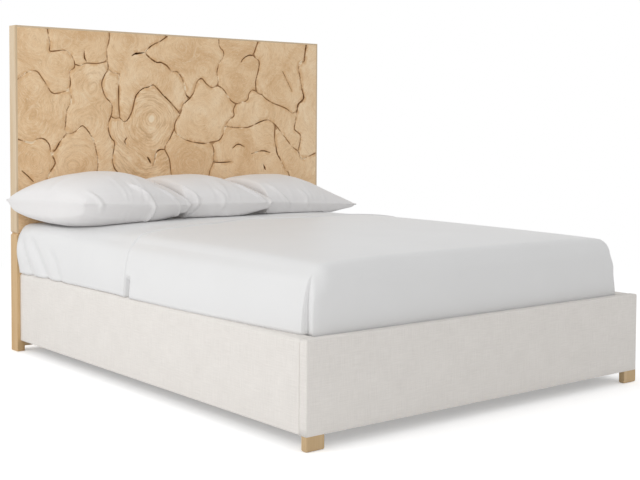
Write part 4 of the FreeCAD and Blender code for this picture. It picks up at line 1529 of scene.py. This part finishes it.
@dataclass(frozen=True)
class LeftHang:
    """How both sheets hang on the bed's left: out over the rail's top, and where the top sheet ends."""

    along: tuple[float, ...] = (
        -1.03, -0.966, -0.865, -0.745, -0.618, -0.479, -0.30, -0.10, 0.27, 0.62, 1.01)
    out: tuple[float, ...] = (
        0.034, 0.038, 0.048, 0.058, 0.062, 0.070, 0.076, 0.080, 0.082, 0.086, 0.092)
    top: float = 0.585
    belly: float = 2.2
    shoulder: float = 0.2
    hem_across: tuple[float, ...] = (
        -0.786, -0.762, -0.709, -0.594, -0.366, -0.137, 0.198, 0.457, 0.671, 0.786)
    hem_along: tuple[float, ...] = (
        0.152, 0.156, 0.160, 0.170, 0.190, 0.300, 0.250, 0.260, 0.225, 0.194)
    hem_lean: float = 0.085
    tuck_depth: float = 0.03
    rail_clear: float = 0.0008
    rail_inset: float = 0.005
    loose: float = 0.094
    loose_along: tuple[float, ...] = (0.12, 0.30, 0.51, 0.71, 0.88, 1.00)
    loose_share: tuple[float, ...] = (0.0, 0.16, 0.48, 0.80, 0.96, 1.0)
    puff: float = 0.008
    puff_along: Range = (0.55, 0.95)
    puff_across: Range = (-0.5, -0.8)

    def rest(self) -> float:
        """Height at which the cloth lies on the rail."""
        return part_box("left_rail_cover")[1].z + self.rail_clear

    def hem(self, across: np.ndarray, height: np.ndarray) -> np.ndarray:
        """Where along the bed the top sheet's head edge lies, at places across the bed and up."""
        edge = curve_through(self.hem_across, self.hem_along, across)
        return edge - self.hem_lean * self.slope(height)

    def slope(self, height: np.ndarray) -> np.ndarray:
        """Share of the full hang at a height: none at the mattress's shoulder, all at the rail.

        Args:
            height: Heights of points on the cloth.

        Returns:
            Shares from 0 to 1.
        """
        below = np.clip((self.top - height) / (self.top - self.rest()), 0.0, 1.0)
        eased = (1.0 + self.shoulder) * below ** 2 / (below + self.shoulder)
        return 1.0 - (1.0 - eased) ** self.belly

    def width(self, along: np.ndarray) -> np.ndarray:
        """How far the cloth stands out from the mattress where it meets the rail."""
        return curve_through(self.along, self.out, along)

    def reach(self, along: np.ndarray) -> np.ndarray:
        """How far the fitted sheet's loose shoulder stands out from the mattress."""
        return self.loose * curve_through(self.loose_along, self.loose_share, along)

    def lift(self, across: np.ndarray, along: np.ndarray) -> np.ndarray:
        """How far the fitted sheet puffs up at the head's left corner."""
        puffed = self.puff * smooth_rise(along, *self.puff_along)
        return puffed * smooth_rise(across, *self.puff_across)

    def tuck(self, shape: np.ndarray, height: np.ndarray, foot: float) -> np.ndarray:
        """Lay the hanging cloth's lower part inwards on the rail's top, then down beside the mattress.

        Args:
            shape: Places on the sheet so far.
            height: Height of each place before it was draped.
            foot: Height of the sheet's lower edge before it was draped.

        Returns:
            Places on the tucked sheet.
        """
        rest = self.rest()
        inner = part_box("left_rail_cover")[1].x + self.rail_inset
        run = np.maximum(inner - shape[:, 0], 0.0)
        gone = np.clip((rest - height) / (rest - foot), 0.0, 1.0) * (run + self.tuck_depth)
        under = (height < rest) & (shape[:, 0] < inner)
        tucked = shape.copy()
        tucked[:, 2] = np.where(under, rest - np.maximum(gone - run, 0.0), shape[:, 2])
        tucked[:, 0] = np.where(under, shape[:, 0] + np.minimum(gone, run), shape[:, 0])
        return tucked


@dataclass
class FittedSheet:
    """Sheet stretched over the mattress, loose along the left side and at the head's left corner."""

    form: MattressForm
    hang: LeftHang
    grow: float = 0.0012
    foot: float = 0.308
    cuts: tuple[int, int, int] = (70, 150, 34)
    edge: float = 0.03
    hem_row: float = 0.15
    hem_cuts: tuple[float, ...] = (-0.012, -0.006, -0.002, 0.0, 0.003, 0.008)
    hem_pull: Range = (-0.6, 0.8)
    hem_step: float = 0.007
    covered_flat: float = 0.85
    ridge: float = 0.008
    ridge_width: float = 0.05
    belly: float = 0.017
    belly_along: Range = (0.55, 0.95)
    belly_height: float = 0.46
    belly_width: float = 0.075
    loose_from: float = 0.55
    puff_from: float = 0.45
    crease_most: float = 0.8
    folds: tuple[LooseFold, ...] = (
        LooseFold((1.005, 0.585), (0.900, 0.357), 0.024, 0.026),
        LooseFold((0.900, 0.560), (0.762, 0.357), 0.024, 0.034),
        LooseFold((0.720, 0.510), (0.645, 0.380), 0.010, 0.030),
    )

    def mesh(self) -> bmesh.types.BMesh:
        """A box open below, cut into cells, finer where the top sheet ends.

        Returns:
            The box.
        """
        low, high = self.form.corners()
        low = low - self.grow
        low[2] = self.foot
        bm = block(Vector(low), Vector(high + self.grow))
        open_sides(bm, [Vector((0, 0, -1))])
        divide(bm, self.cuts)
        slice_up(bm, 1, self.hem_row + np.array(self.hem_cuts))
        return bm

    def drape(self, points: np.ndarray) -> np.ndarray:
        """Move the box's points to where the cloth lies.

        Args:
            points: Places on the open box.

        Returns:
            Places on the sheet.
        """
        high = self.form.corners()[1]
        points = points.copy()
        past_hem = points[:, 1] - self.hem_row
        follow = smooth_rise(points[:, 1], self.hem_pull[0], self.hem_row)
        follow = follow * smooth_rise(points[:, 1], self.hem_pull[1], self.hem_row)
        points[:, 1] += (self.hang.hem(points[:, 0], points[:, 2]) - self.hem_row) * follow
        reach = self.hang.reach(points[:, 1])
        points[:, 0] -= reach * smooth_rise(-points[:, 0], self.loose_from, high[0])
        shape = self.form.shaped(points, self.grow, reach)
        left, right = self.form.sides(shape[:, 0], self.edge)
        shape[:, 0] += right * tuck_flare(points[:, 2], self.hang.rest())
        covered = smooth_rise(-past_hem, 0.0, self.hem_step)
        lean = np.maximum(self.hang.width(shape[:, 1]) - reach, 0.0) * self.hang.slope(points[:, 2])
        lean = lean * (1.0 - self.covered_flat * covered)
        beside_hem = self.ridge * (1.0 - covered) * np.exp(-(past_hem / self.ridge_width) ** 2)
        head = smooth_rise(shape[:, 1], *self.belly_along)
        from_belly = (points[:, 2] - self.belly_height) / self.belly_width
        lean = lean + self.belly * head * np.exp(-from_belly ** 2)
        near_top = smooth_rise(shape[:, 2], self.puff_from, high[2])
        shape[:, 2] += self.hang.lift(shape[:, 0], shape[:, 1]) * near_top
        shape[:, 0] -= left * (lean + beside_hem)
        shape[:, 2] += beside_hem * smooth_rise(shape[:, 2], high[2] - self.edge, high[2])
        crease = sum(fold.depth_at(shape[:, 1], shape[:, 2]) for fold in self.folds)
        shape[:, 0] += np.minimum(crease, reach * self.crease_most) * left
        return self.hang.tuck(shape, points[:, 2], self.foot)

    def build(self) -> None:
        """Build and dress the fitted sheet."""
        piece = make_piece(self.mesh(), "fitted_sheet_cloth", smooth=True)
        write_points(piece.data, self.drape(read_points(piece.data)))
        settle(piece, "bedding", (SHEET_COTTON,), ["fitted_sheet"])


@dataclass
class TopSheet:
    """Top sheet laid over the foot of the bed, with a hospital corner at the foot's left."""

    form: MattressForm
    hang: LeftHang
    grow: float = 0.0032
    foot: float = 0.308
    cuts: tuple[int, int, int] = (96, 110, 26)
    cloth: float = 0.0012
    edge: float = 0.02
    rail_drop: float = 0.0045
    head_row: float = 0.437
    head_cuts: tuple[float, ...] = (0.003, 0.02, 0.034, 0.037, 0.04, 0.043, 0.046, 0.05)
    head_pull: float = -0.6
    flap_row: float = -0.992
    flap_cuts: tuple[float, float, float] = (-0.030, 0.010, 0.002)
    flap_top: float = 0.560
    flap_fade: float = 0.05
    flap_step: float = 0.001
    flap_set: float = 0.006
    flap_set_low: float = 0.018
    flap_gape: float = 0.004
    flap_gape_run: float = 0.004
    flap_ridge: float = 0.002
    flap_ridge_along: Range = (0.008, 0.024)
    slot_depth: float = 0.034
    slot_width: float = 0.034
    slot_edge: float = 0.006
    slot_heights: Range = (0.445, 0.405)
    hollow_depth: float = 0.010
    hollow_middle: Range = (0.10, 0.43)
    hollow_size: Range = (0.08, 0.05)
    hollow_fade: float = 0.06
    ripple: float = 0.0015
    ripple_waves: tuple[Wave, ...] = ((11.0, 0.6, 0.6), (19.0, 0.0, 0.4))

    def mesh(self) -> bmesh.types.BMesh:
        """A box open below and at the head, cut into cells, finer at the folded corner.

        Returns:
            The box.
        """
        low, high = self.form.corners()
        low = low - self.grow
        low[2] = self.foot
        high = high + self.grow
        high[1] = self.head_row
        bm = block(Vector(low), Vector(high))
        open_sides(bm, [Vector((0, 0, -1)), Vector((0, 1, 0))])
        divide(bm, self.cuts)
        slice_up(bm, 1, self.flap_row + np.arange(*self.flap_cuts))
        slice_up(bm, 1, self.head_row - np.array(self.head_cuts))
        return bm

    def corner_fold(self, along: np.ndarray, height: np.ndarray) -> np.ndarray:
        """How far the cloth below the folded flap lies behind it, near the foot's left corner.

        Args:
            along: Places along the bed.
            height: Heights.

        Returns:
            Depths in metres behind the flap's surface.
        """
        footward = self.flap_row - along
        step = smooth_rise(footward, -self.flap_step, self.flap_step)
        ridge = smooth_rise(footward, *self.flap_ridge_along)
        down = smooth_rise(height, self.flap_top, self.flap_top - self.flap_fade)
        low = smooth_rise(height, self.flap_top, self.hang.rest())
        gape = np.exp(-np.maximum(footward - self.flap_step, 0.0) / self.flap_gape_run)
        behind = self.flap_set + self.flap_set_low * low + self.flap_gape * gape - self.flap_ridge * ridge
        return down * step * behind

    def drape(self, points: np.ndarray) -> np.ndarray:
        """Move the box's points to where the cloth lies.

        Args:
            points: Places on the open box.

        Returns:
            Places on the sheet.
        """
        points = points.copy()
        from_hem = self.head_row - points[:, 1]
        follow = smooth_rise(points[:, 1], self.head_pull, self.head_row)
        points[:, 1] += (self.hang.hem(points[:, 0], points[:, 2]) - self.head_row) * follow
        shape = self.form.shaped(points, self.grow)
        left, right = self.form.sides(shape[:, 0], self.edge)
        shape[:, 0] += right * tuck_flare(points[:, 2], self.hang.rest() - self.rail_drop)
        slope = self.hang.slope(points[:, 2])
        past_slot = smooth_rise(from_hem, self.slot_width - self.slot_edge, self.slot_width + self.slot_edge)
        dent = self.slot_depth * smooth_rise(points[:, 2], *self.slot_heights) * (1.0 - past_slot)
        around = (((from_hem - self.hollow_middle[0]) / self.hollow_size[0]) ** 2
                  + ((points[:, 2] - self.hollow_middle[1]) / self.hollow_size[1]) ** 2)
        dent = dent + self.hollow_depth * np.exp(-around) * smooth_rise(from_hem, 0.0, self.hollow_fade)
        ripple = self.ripple * (1.0 + ripples(points[:, 1], self.ripple_waves))
        lean = self.hang.width(shape[:, 1]) * slope + ripple * slope
        shape[:, 0] -= left * (lean - dent - self.corner_fold(shape[:, 1], points[:, 2]))
        return self.hang.tuck(shape, points[:, 2], self.foot)

    def build(self) -> None:
        """Build and dress the top sheet."""
        piece = make_piece(self.mesh(), "top_sheet_cloth", smooth=True)
        write_points(piece.data, self.drape(read_points(piece.data)))
        thickness = piece.modifiers.new("cloth_thickness", "SOLIDIFY")
        thickness.thickness = self.cloth
        thickness.offset = 1.0
        settle(piece, "bedding", (SHEET_COTTON,), ["top_sheet"])


@dataclass(frozen=True)
class PillowFold:
    """A fold across a pillow's front: its places from top to foot, its height and half width."""

    path: tuple[Range, ...]
    height: float
    width: float
    fade: float = 0.02
    skew: float = 1.3

    def height_at(self, across: np.ndarray, up: np.ndarray) -> np.ndarray:
        """How far the fold stands out at places across the bed and up.

        Args:
            across: Places across the bed.
            up: Heights.

        Returns:
            Heights of the fold in metres, below zero in the crease beside it.
        """
        places, heights = zip(*reversed(self.path))
        off = (across - curve_through(heights, places, up)) / self.width
        ends = smooth_rise(up, heights[0] - self.fade, heights[0] + self.fade)
        ends = ends * smooth_rise(up, heights[-1] + self.fade, heights[-1] - self.fade)
        return self.height * ends * np.exp(-off ** 2) * (1.0 - self.skew * off)


NO_WALL = 1.2
ON_SEAM = 1e-4
CLOTH_SETTINGS = {
    "quality": 6,
    "mass": 0.3,
    "tension_stiffness": 15.0,
    "compression_stiffness": 15.0,
    "shear_stiffness": 5.0,
    "bending_stiffness": 2.0,
    "use_pressure": True,
}


@dataclass
class Pillow:
    """One pillow: a sewn pouch, blown up lying flat and then laid at the headboard.

    Corners run front left, front right, back right, back left, each as X, Y and seam height.
    Walls are the planes shared with the neighbours, as X at the front and at the back.
    Calm is how far the blown-up shape is drawn towards an even swell.
    """

    node: str
    form: MattressForm
    hang: LeftHang
    corners: tuple[Place, Place, Place, Place]
    left_wall: Range
    right_wall: Range
    front_bow: float = 0.04
    left_taper: float = 0.0
    right_taper: float = 0.0
    rise: float = 0.132
    fall: float = 0.10
    fullness: float = 0.86
    lower_fullness: float = 0.46
    ear_free: float = 0.0
    ear_along: Range = (0.617, 0.572)
    board_gap: float = 0.002
    board_give: float = 0.02
    wall_front: float = 0.557
    wall_run: float = 0.44
    wall_give: float = 0.025
    sheet_gap: float = 0.003
    pressure: float = 5.0
    frames: int = 24
    cells: tuple[int, int] = (60, 48)
    flat_loft: float = 0.006
    flat_jitter: float = 0.002
    smooth_turns: int = 5
    smooth_share: float = 0.5
    finer_levels: int = 2
    calm: float = 0.75
    welt: float = 0.0035
    welt_share: float = 0.6
    fold_facing: Range = (0.05, 0.5)
    under: float = 0.15
    plump: float = 3.4
    seed: int = 1
    folds: tuple[PillowFold, ...] = ()

    def pouch(self) -> tuple[bpy.types.Object, np.ndarray]:
        """Two flat layers sewn at their edge.

        Returns:
            The pouch, and each vertex's place on it, from -1 to 1 across and along.
        """
        front_left, front_right, back_right, back_left = (Vector(corner) for corner in self.corners)
        width = ((front_right - front_left).length + (back_right - back_left).length) / 2
        depth = ((back_left - front_left).length + (back_right - front_right).length) / 2
        bm = bmesh.new()
        bmesh.ops.create_grid(bm, x_segments=self.cells[0], y_segments=self.cells[1], size=0.5)
        bmesh.ops.scale(bm, vec=(width, depth, 1.0), verts=bm.verts)
        draw = np.random.default_rng(self.seed)
        for vert in bm.verts:
            if not vert.is_boundary:
                vert.co.z = self.flat_loft + self.flat_jitter * draw.random()
        upper = bm.verts[:] + bm.edges[:] + bm.faces[:]
        lower = bmesh.ops.duplicate(bm, geom=upper)["geom"]
        bmesh.ops.scale(bm, vec=(1.0, 1.0, -1.0), verts=verts_of(lower))
        turned = [item for item in lower if isinstance(item, bmesh.types.BMFace)]
        bmesh.ops.reverse_faces(bm, faces=turned)
        bmesh.ops.remove_doubles(bm, verts=bm.verts, dist=MERGE)
        piece = make_piece(bm, self.node + "_stuffed", smooth=True)
        flat = read_points(piece.data)[:, :2]
        return piece, flat / np.abs(flat).max(0)

    def stuff(self, piece: bpy.types.Object, on_seam: np.ndarray) -> None:
        """Blow the pouch up with cloth simulation, keep the result and smooth it a little.

        Args:
            piece: The flat pouch.
            on_seam: True for each vertex of the seam, which is smoothed only up and down.
        """
        cloth = piece.modifiers.new("stuffing", "CLOTH")
        for name, value in CLOTH_SETTINGS.items():
            setattr(cloth.settings, name, value)
        cloth.settings.uniform_pressure_force = self.pressure
        cloth.settings.effector_weights.gravity = 0.0
        cloth.point_cache.frame_start = 1
        cloth.point_cache.frame_end = self.frames
        scene = bpy.context.scene
        for number in range(1, self.frames + 1):
            scene.frame_set(number)
        shaped = piece.evaluated_get(bpy.context.evaluated_depsgraph_get())
        points = read_points(shaped.data)
        piece.modifiers.remove(cloth)
        scene.frame_set(1)
        write_points(piece.data, points)
        bm = bmesh.new()
        bm.from_mesh(piece.data)
        inside = [vert for vert in bm.verts if not on_seam[vert.index]]
        seam = [vert for vert in bm.verts if on_seam[vert.index]]
        for _ in range(self.smooth_turns):
            for verts, level in ((inside, True), (seam, False)):
                bmesh.ops.smooth_vert(bm, verts=verts, factor=self.smooth_share, use_axis_x=level,
                                      use_axis_y=level, use_axis_z=True)
        bm.to_mesh(piece.data)
        bm.free()

    def seam_share(self, places: np.ndarray, flat: np.ndarray, axis: int) -> np.ndarray:
        """Measure a point's place between the two seams of its row.

        Args:
            places: Places along one axis after stuffing.
            flat: Each vertex's place on the flat pouch.
            axis: 0 across the bed, 1 along it.

        Returns:
            Places from -1 at one seam to 1 at the other, a little past where the cloth bulges.
        """
        row = flat[:, 1 - axis]
        ends = []
        for sign in (-1, 1):
            seam = np.abs(flat[:, axis] - sign) < ON_SEAM
            order = np.argsort(row[seam])
            ends.append(np.interp(row, row[seam][order], places[seam][order]))
        return 2.0 * (places - ends[0]) / (ends[1] - ends[0]) - 1.0

    def lay(self, piece: bpy.types.Object, flat: np.ndarray) -> None:
        """Fit the stuffed pouch between its corners, on the mattress, beside its neighbours.

        Args:
            piece: The stuffed pouch.
            flat: Each vertex's place on the flat pouch.
        """
        points = read_points(piece.data)
        across = self.seam_share(points[:, 0], flat, 0)
        along = self.seam_share(points[:, 1], flat, 1)
        swell = np.abs(points[:, 2]) / np.abs(points[:, 2]).max()
        share = np.abs(flat).clip(0.0, 1.0)
        even = np.sqrt((1.0 - share[:, 0] ** self.plump) * (1.0 - share[:, 1] ** 2))
        swell = swell + self.calm * (even - swell)
        across = across + self.calm * (flat[:, 0] - across)
        along = along + self.calm * (flat[:, 1] - along)
        up = np.where(points[:, 2] > 0, self.rise * swell ** self.fullness,
                      -self.fall * swell ** self.lower_fullness)
        weights = [(1 - across) * (1 - along), (1 + across) * (1 - along),
                   (1 + across) * (1 + along), (1 - across) * (1 + along)]
        laid = sum(weight[:, None] * np.array(corner)[None]
                   for weight, corner in zip(weights, self.corners)) / 4
        level = np.clip(across, -1.0, 1.0) ** 2
        laid[:, 1] -= self.front_bow * (1 - level) * np.clip(1 - along, 0.0, 2.0) / 2
        up *= 1.0 - self.left_taper * smooth_rise(-across, 0.0, 1.0)
        up *= 1.0 - self.right_taper * smooth_rise(across, 0.0, 1.0)
        laid[:, 2] += up
        laid[:, 1] += self.under * np.maximum(-up, 0.0) * np.clip(-along, 0.0, 1.0)
        self.press(laid)
        write_points(piece.data, laid)

    def press(self, laid: np.ndarray) -> None:
        """Flatten a laid pillow against the headboard, its neighbours and the sheet.

        Args:
            laid: Places on the pillow, which are changed.
        """
        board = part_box("slab_big_round")[0].y - self.board_gap
        laid[:, 1] = soft_limit(laid[:, 1], board, self.board_give)
        back = np.clip((laid[:, 1] - self.wall_front) / self.wall_run, 0.0, 1.0)
        left, right = (wall[0] + (wall[1] - wall[0]) * back for wall in (self.left_wall, self.right_wall))
        ear = self.ear_free * smooth_rise(laid[:, 1], *self.ear_along)
        laid[:, 0] = right + ear + soft_limit(laid[:, 0] - right - ear, 0.0, self.wall_give)
        laid[:, 0] = left - soft_limit(left - laid[:, 0], 0.0, self.wall_give)
        cloth = self.form.top(laid[:, 0], laid[:, 1], self.hang.reach(laid[:, 1]))
        cloth = cloth + self.hang.lift(laid[:, 0], laid[:, 1])
        laid[:, 2] = np.maximum(laid[:, 2], cloth + self.sheet_gap)

    def sew(self, piece: bpy.types.Object, on_seam: np.ndarray) -> None:
        """Crease the seam's edges, and mark its vertices for the welt.

        Args:
            piece: The laid pillow.
            on_seam: True for each vertex of the seam.
        """
        crease = piece.data.attributes.new("crease_edge", "FLOAT", "EDGE")
        ends = np.empty(len(piece.data.edges) * 2, np.int32)
        piece.data.edges.foreach_get("vertices", ends)
        crease.data.foreach_set("value", on_seam[ends.reshape(-1, 2)].all(1).astype(np.float32))
        write_attribute(piece.data, "seam", on_seam.astype(float))

    def refine(self, piece: bpy.types.Object) -> None:
        """Cut the laid pillow finer, and raise its seam and the folds across its front.

        Args:
            piece: The sewn pillow.
        """
        finer = piece.modifiers.new("finer", "SUBSURF")
        finer.levels = self.finer_levels
        finer.render_levels = self.finer_levels
        shaped = piece.evaluated_get(bpy.context.evaluated_depsgraph_get())
        mesh = bpy.data.meshes.new_from_object(shaped)
        piece.modifiers.clear()
        piece.data = mesh
        points = read_points(mesh)
        normals = np.empty(points.size, np.float32)
        mesh.vertices.foreach_get("normal", normals)
        normals = normals.reshape(points.shape)
        seam = np.empty(len(points), np.float32)
        mesh.attributes["seam"].data.foreach_get("value", seam)
        out = self.welt * smooth_rise(seam, self.welt_share, 1.0)
        front = smooth_rise(-normals[:, 1], *self.fold_facing)
        for fold in self.folds:
            out = out + front * fold.height_at(points[:, 0], points[:, 2])
        points = points + normals * out[:, None]
        self.press(points)
        write_points(mesh, points)

    def build(self) -> None:
        """Build and dress the pillow."""
        piece, flat = self.pouch()
        on_seam = np.abs(flat).max(1) > 1.0 - ON_SEAM
        self.stuff(piece, on_seam)
        self.lay(piece, flat)
        self.sew(piece, on_seam)
        self.refine(piece)
        settle(piece, self.node, (PILLOW_COTTON,), [self.node])


LEFT_PILLOW_FOLDS = (
    PillowFold(((-0.550, 0.765), (-0.505, 0.730), (-0.475, 0.685), (-0.468, 0.645), (-0.485, 0.610)),
               0.012, 0.013),
    PillowFold(((-0.745, 0.740), (-0.715, 0.700), (-0.705, 0.665)), 0.005, 0.013),
    PillowFold(((-0.410, 0.745), (-0.350, 0.700), (-0.318, 0.650), (-0.322, 0.615)), 0.008, 0.010),
    PillowFold(((-0.350, 0.750), (-0.298, 0.715), (-0.268, 0.680), (-0.280, 0.630)), 0.007, 0.008),
)
MIDDLE_PILLOW_FOLDS = (
    PillowFold(((-0.255, 0.755), (-0.205, 0.710), (-0.205, 0.660), (-0.250, 0.615)), 0.010, 0.012),
    PillowFold(((-0.085, 0.735), (-0.065, 0.690), (-0.080, 0.640)), 0.004, 0.014),
    PillowFold(((0.045, 0.755), (0.100, 0.715), (0.160, 0.675)), 0.009, 0.011),
    PillowFold(((0.105, 0.765), (0.150, 0.725), (0.192, 0.690), (0.180, 0.640)), 0.007, 0.009),
)
RIGHT_PILLOW_FOLDS = (
    PillowFold(((0.262, 0.740), (0.300, 0.690), (0.345, 0.640)), 0.008, 0.013),
    PillowFold(((0.430, 0.715), (0.450, 0.680), (0.440, 0.635)), 0.004, 0.014),
)


def make_pillows(form: MattressForm, hang: LeftHang) -> list[Pillow]:
    """The three pillows in a row at the headboard.

    Args:
        form: The mattress that they lie on.
        hang: How the sheet hangs on the left.

    Returns:
        The pillows from left to right.
    """
    left = ((-0.785, 0.515, 0.693), (-0.255, 0.520, 0.670), (-0.205, 1.002, 0.690), (-0.920, 1.000, 0.692))
    middle = ((-0.340, 0.580, 0.672), (0.205, 0.520, 0.663), (0.255, 1.002, 0.690), (-0.365, 1.002, 0.690))
    right = ((0.115, 0.570, 0.668), (0.785, 0.590, 0.630), (0.795, 1.002, 0.672), (0.085, 1.002, 0.690))
    return [
        Pillow("left_pillow", form, hang, left, (-NO_WALL, -NO_WALL), (-0.266, -0.283), front_bow=0.05,
               ear_free=0.04, fall=0.125, left_taper=0.10, right_taper=0.42, under=0.45, seed=3,
               folds=LEFT_PILLOW_FOLDS),
        Pillow("middle_pillow", form, hang, middle, (-0.264, -0.281), (0.204, 0.160), front_bow=0.03,
               ear_free=0.03, rise=0.114, right_taper=0.38, seed=5, folds=MIDDLE_PILLOW_FOLDS),
        Pillow("right_pillow", form, hang, right, (0.206, 0.162), (NO_WALL, NO_WALL), front_bow=0.02,
               rise=0.116, right_taper=0.58, fullness=1.0, seed=8, folds=RIGHT_PILLOW_FOLDS),
    ]


def main() -> None:
    """Build the studio and every sub-assembly of the bed, and report each."""
    logging.basicConfig(level=logging.INFO, format="%(name)s: %(message)s")
    Studio().build()
    form = MattressForm()
    hang = LeftHang()
    parts = [Headboard(), *(SideRail(side) for side in Side), Footboard(), SlattedBase(), Mattress(form),
             FittedSheet(form, hang), TopSheet(form, hang), *make_pillows(form, hang)]
    for part in parts:
        part.build()
        LOG.info("%s is built", type(part).__name__)


if __name__ == "__main__":
    main()
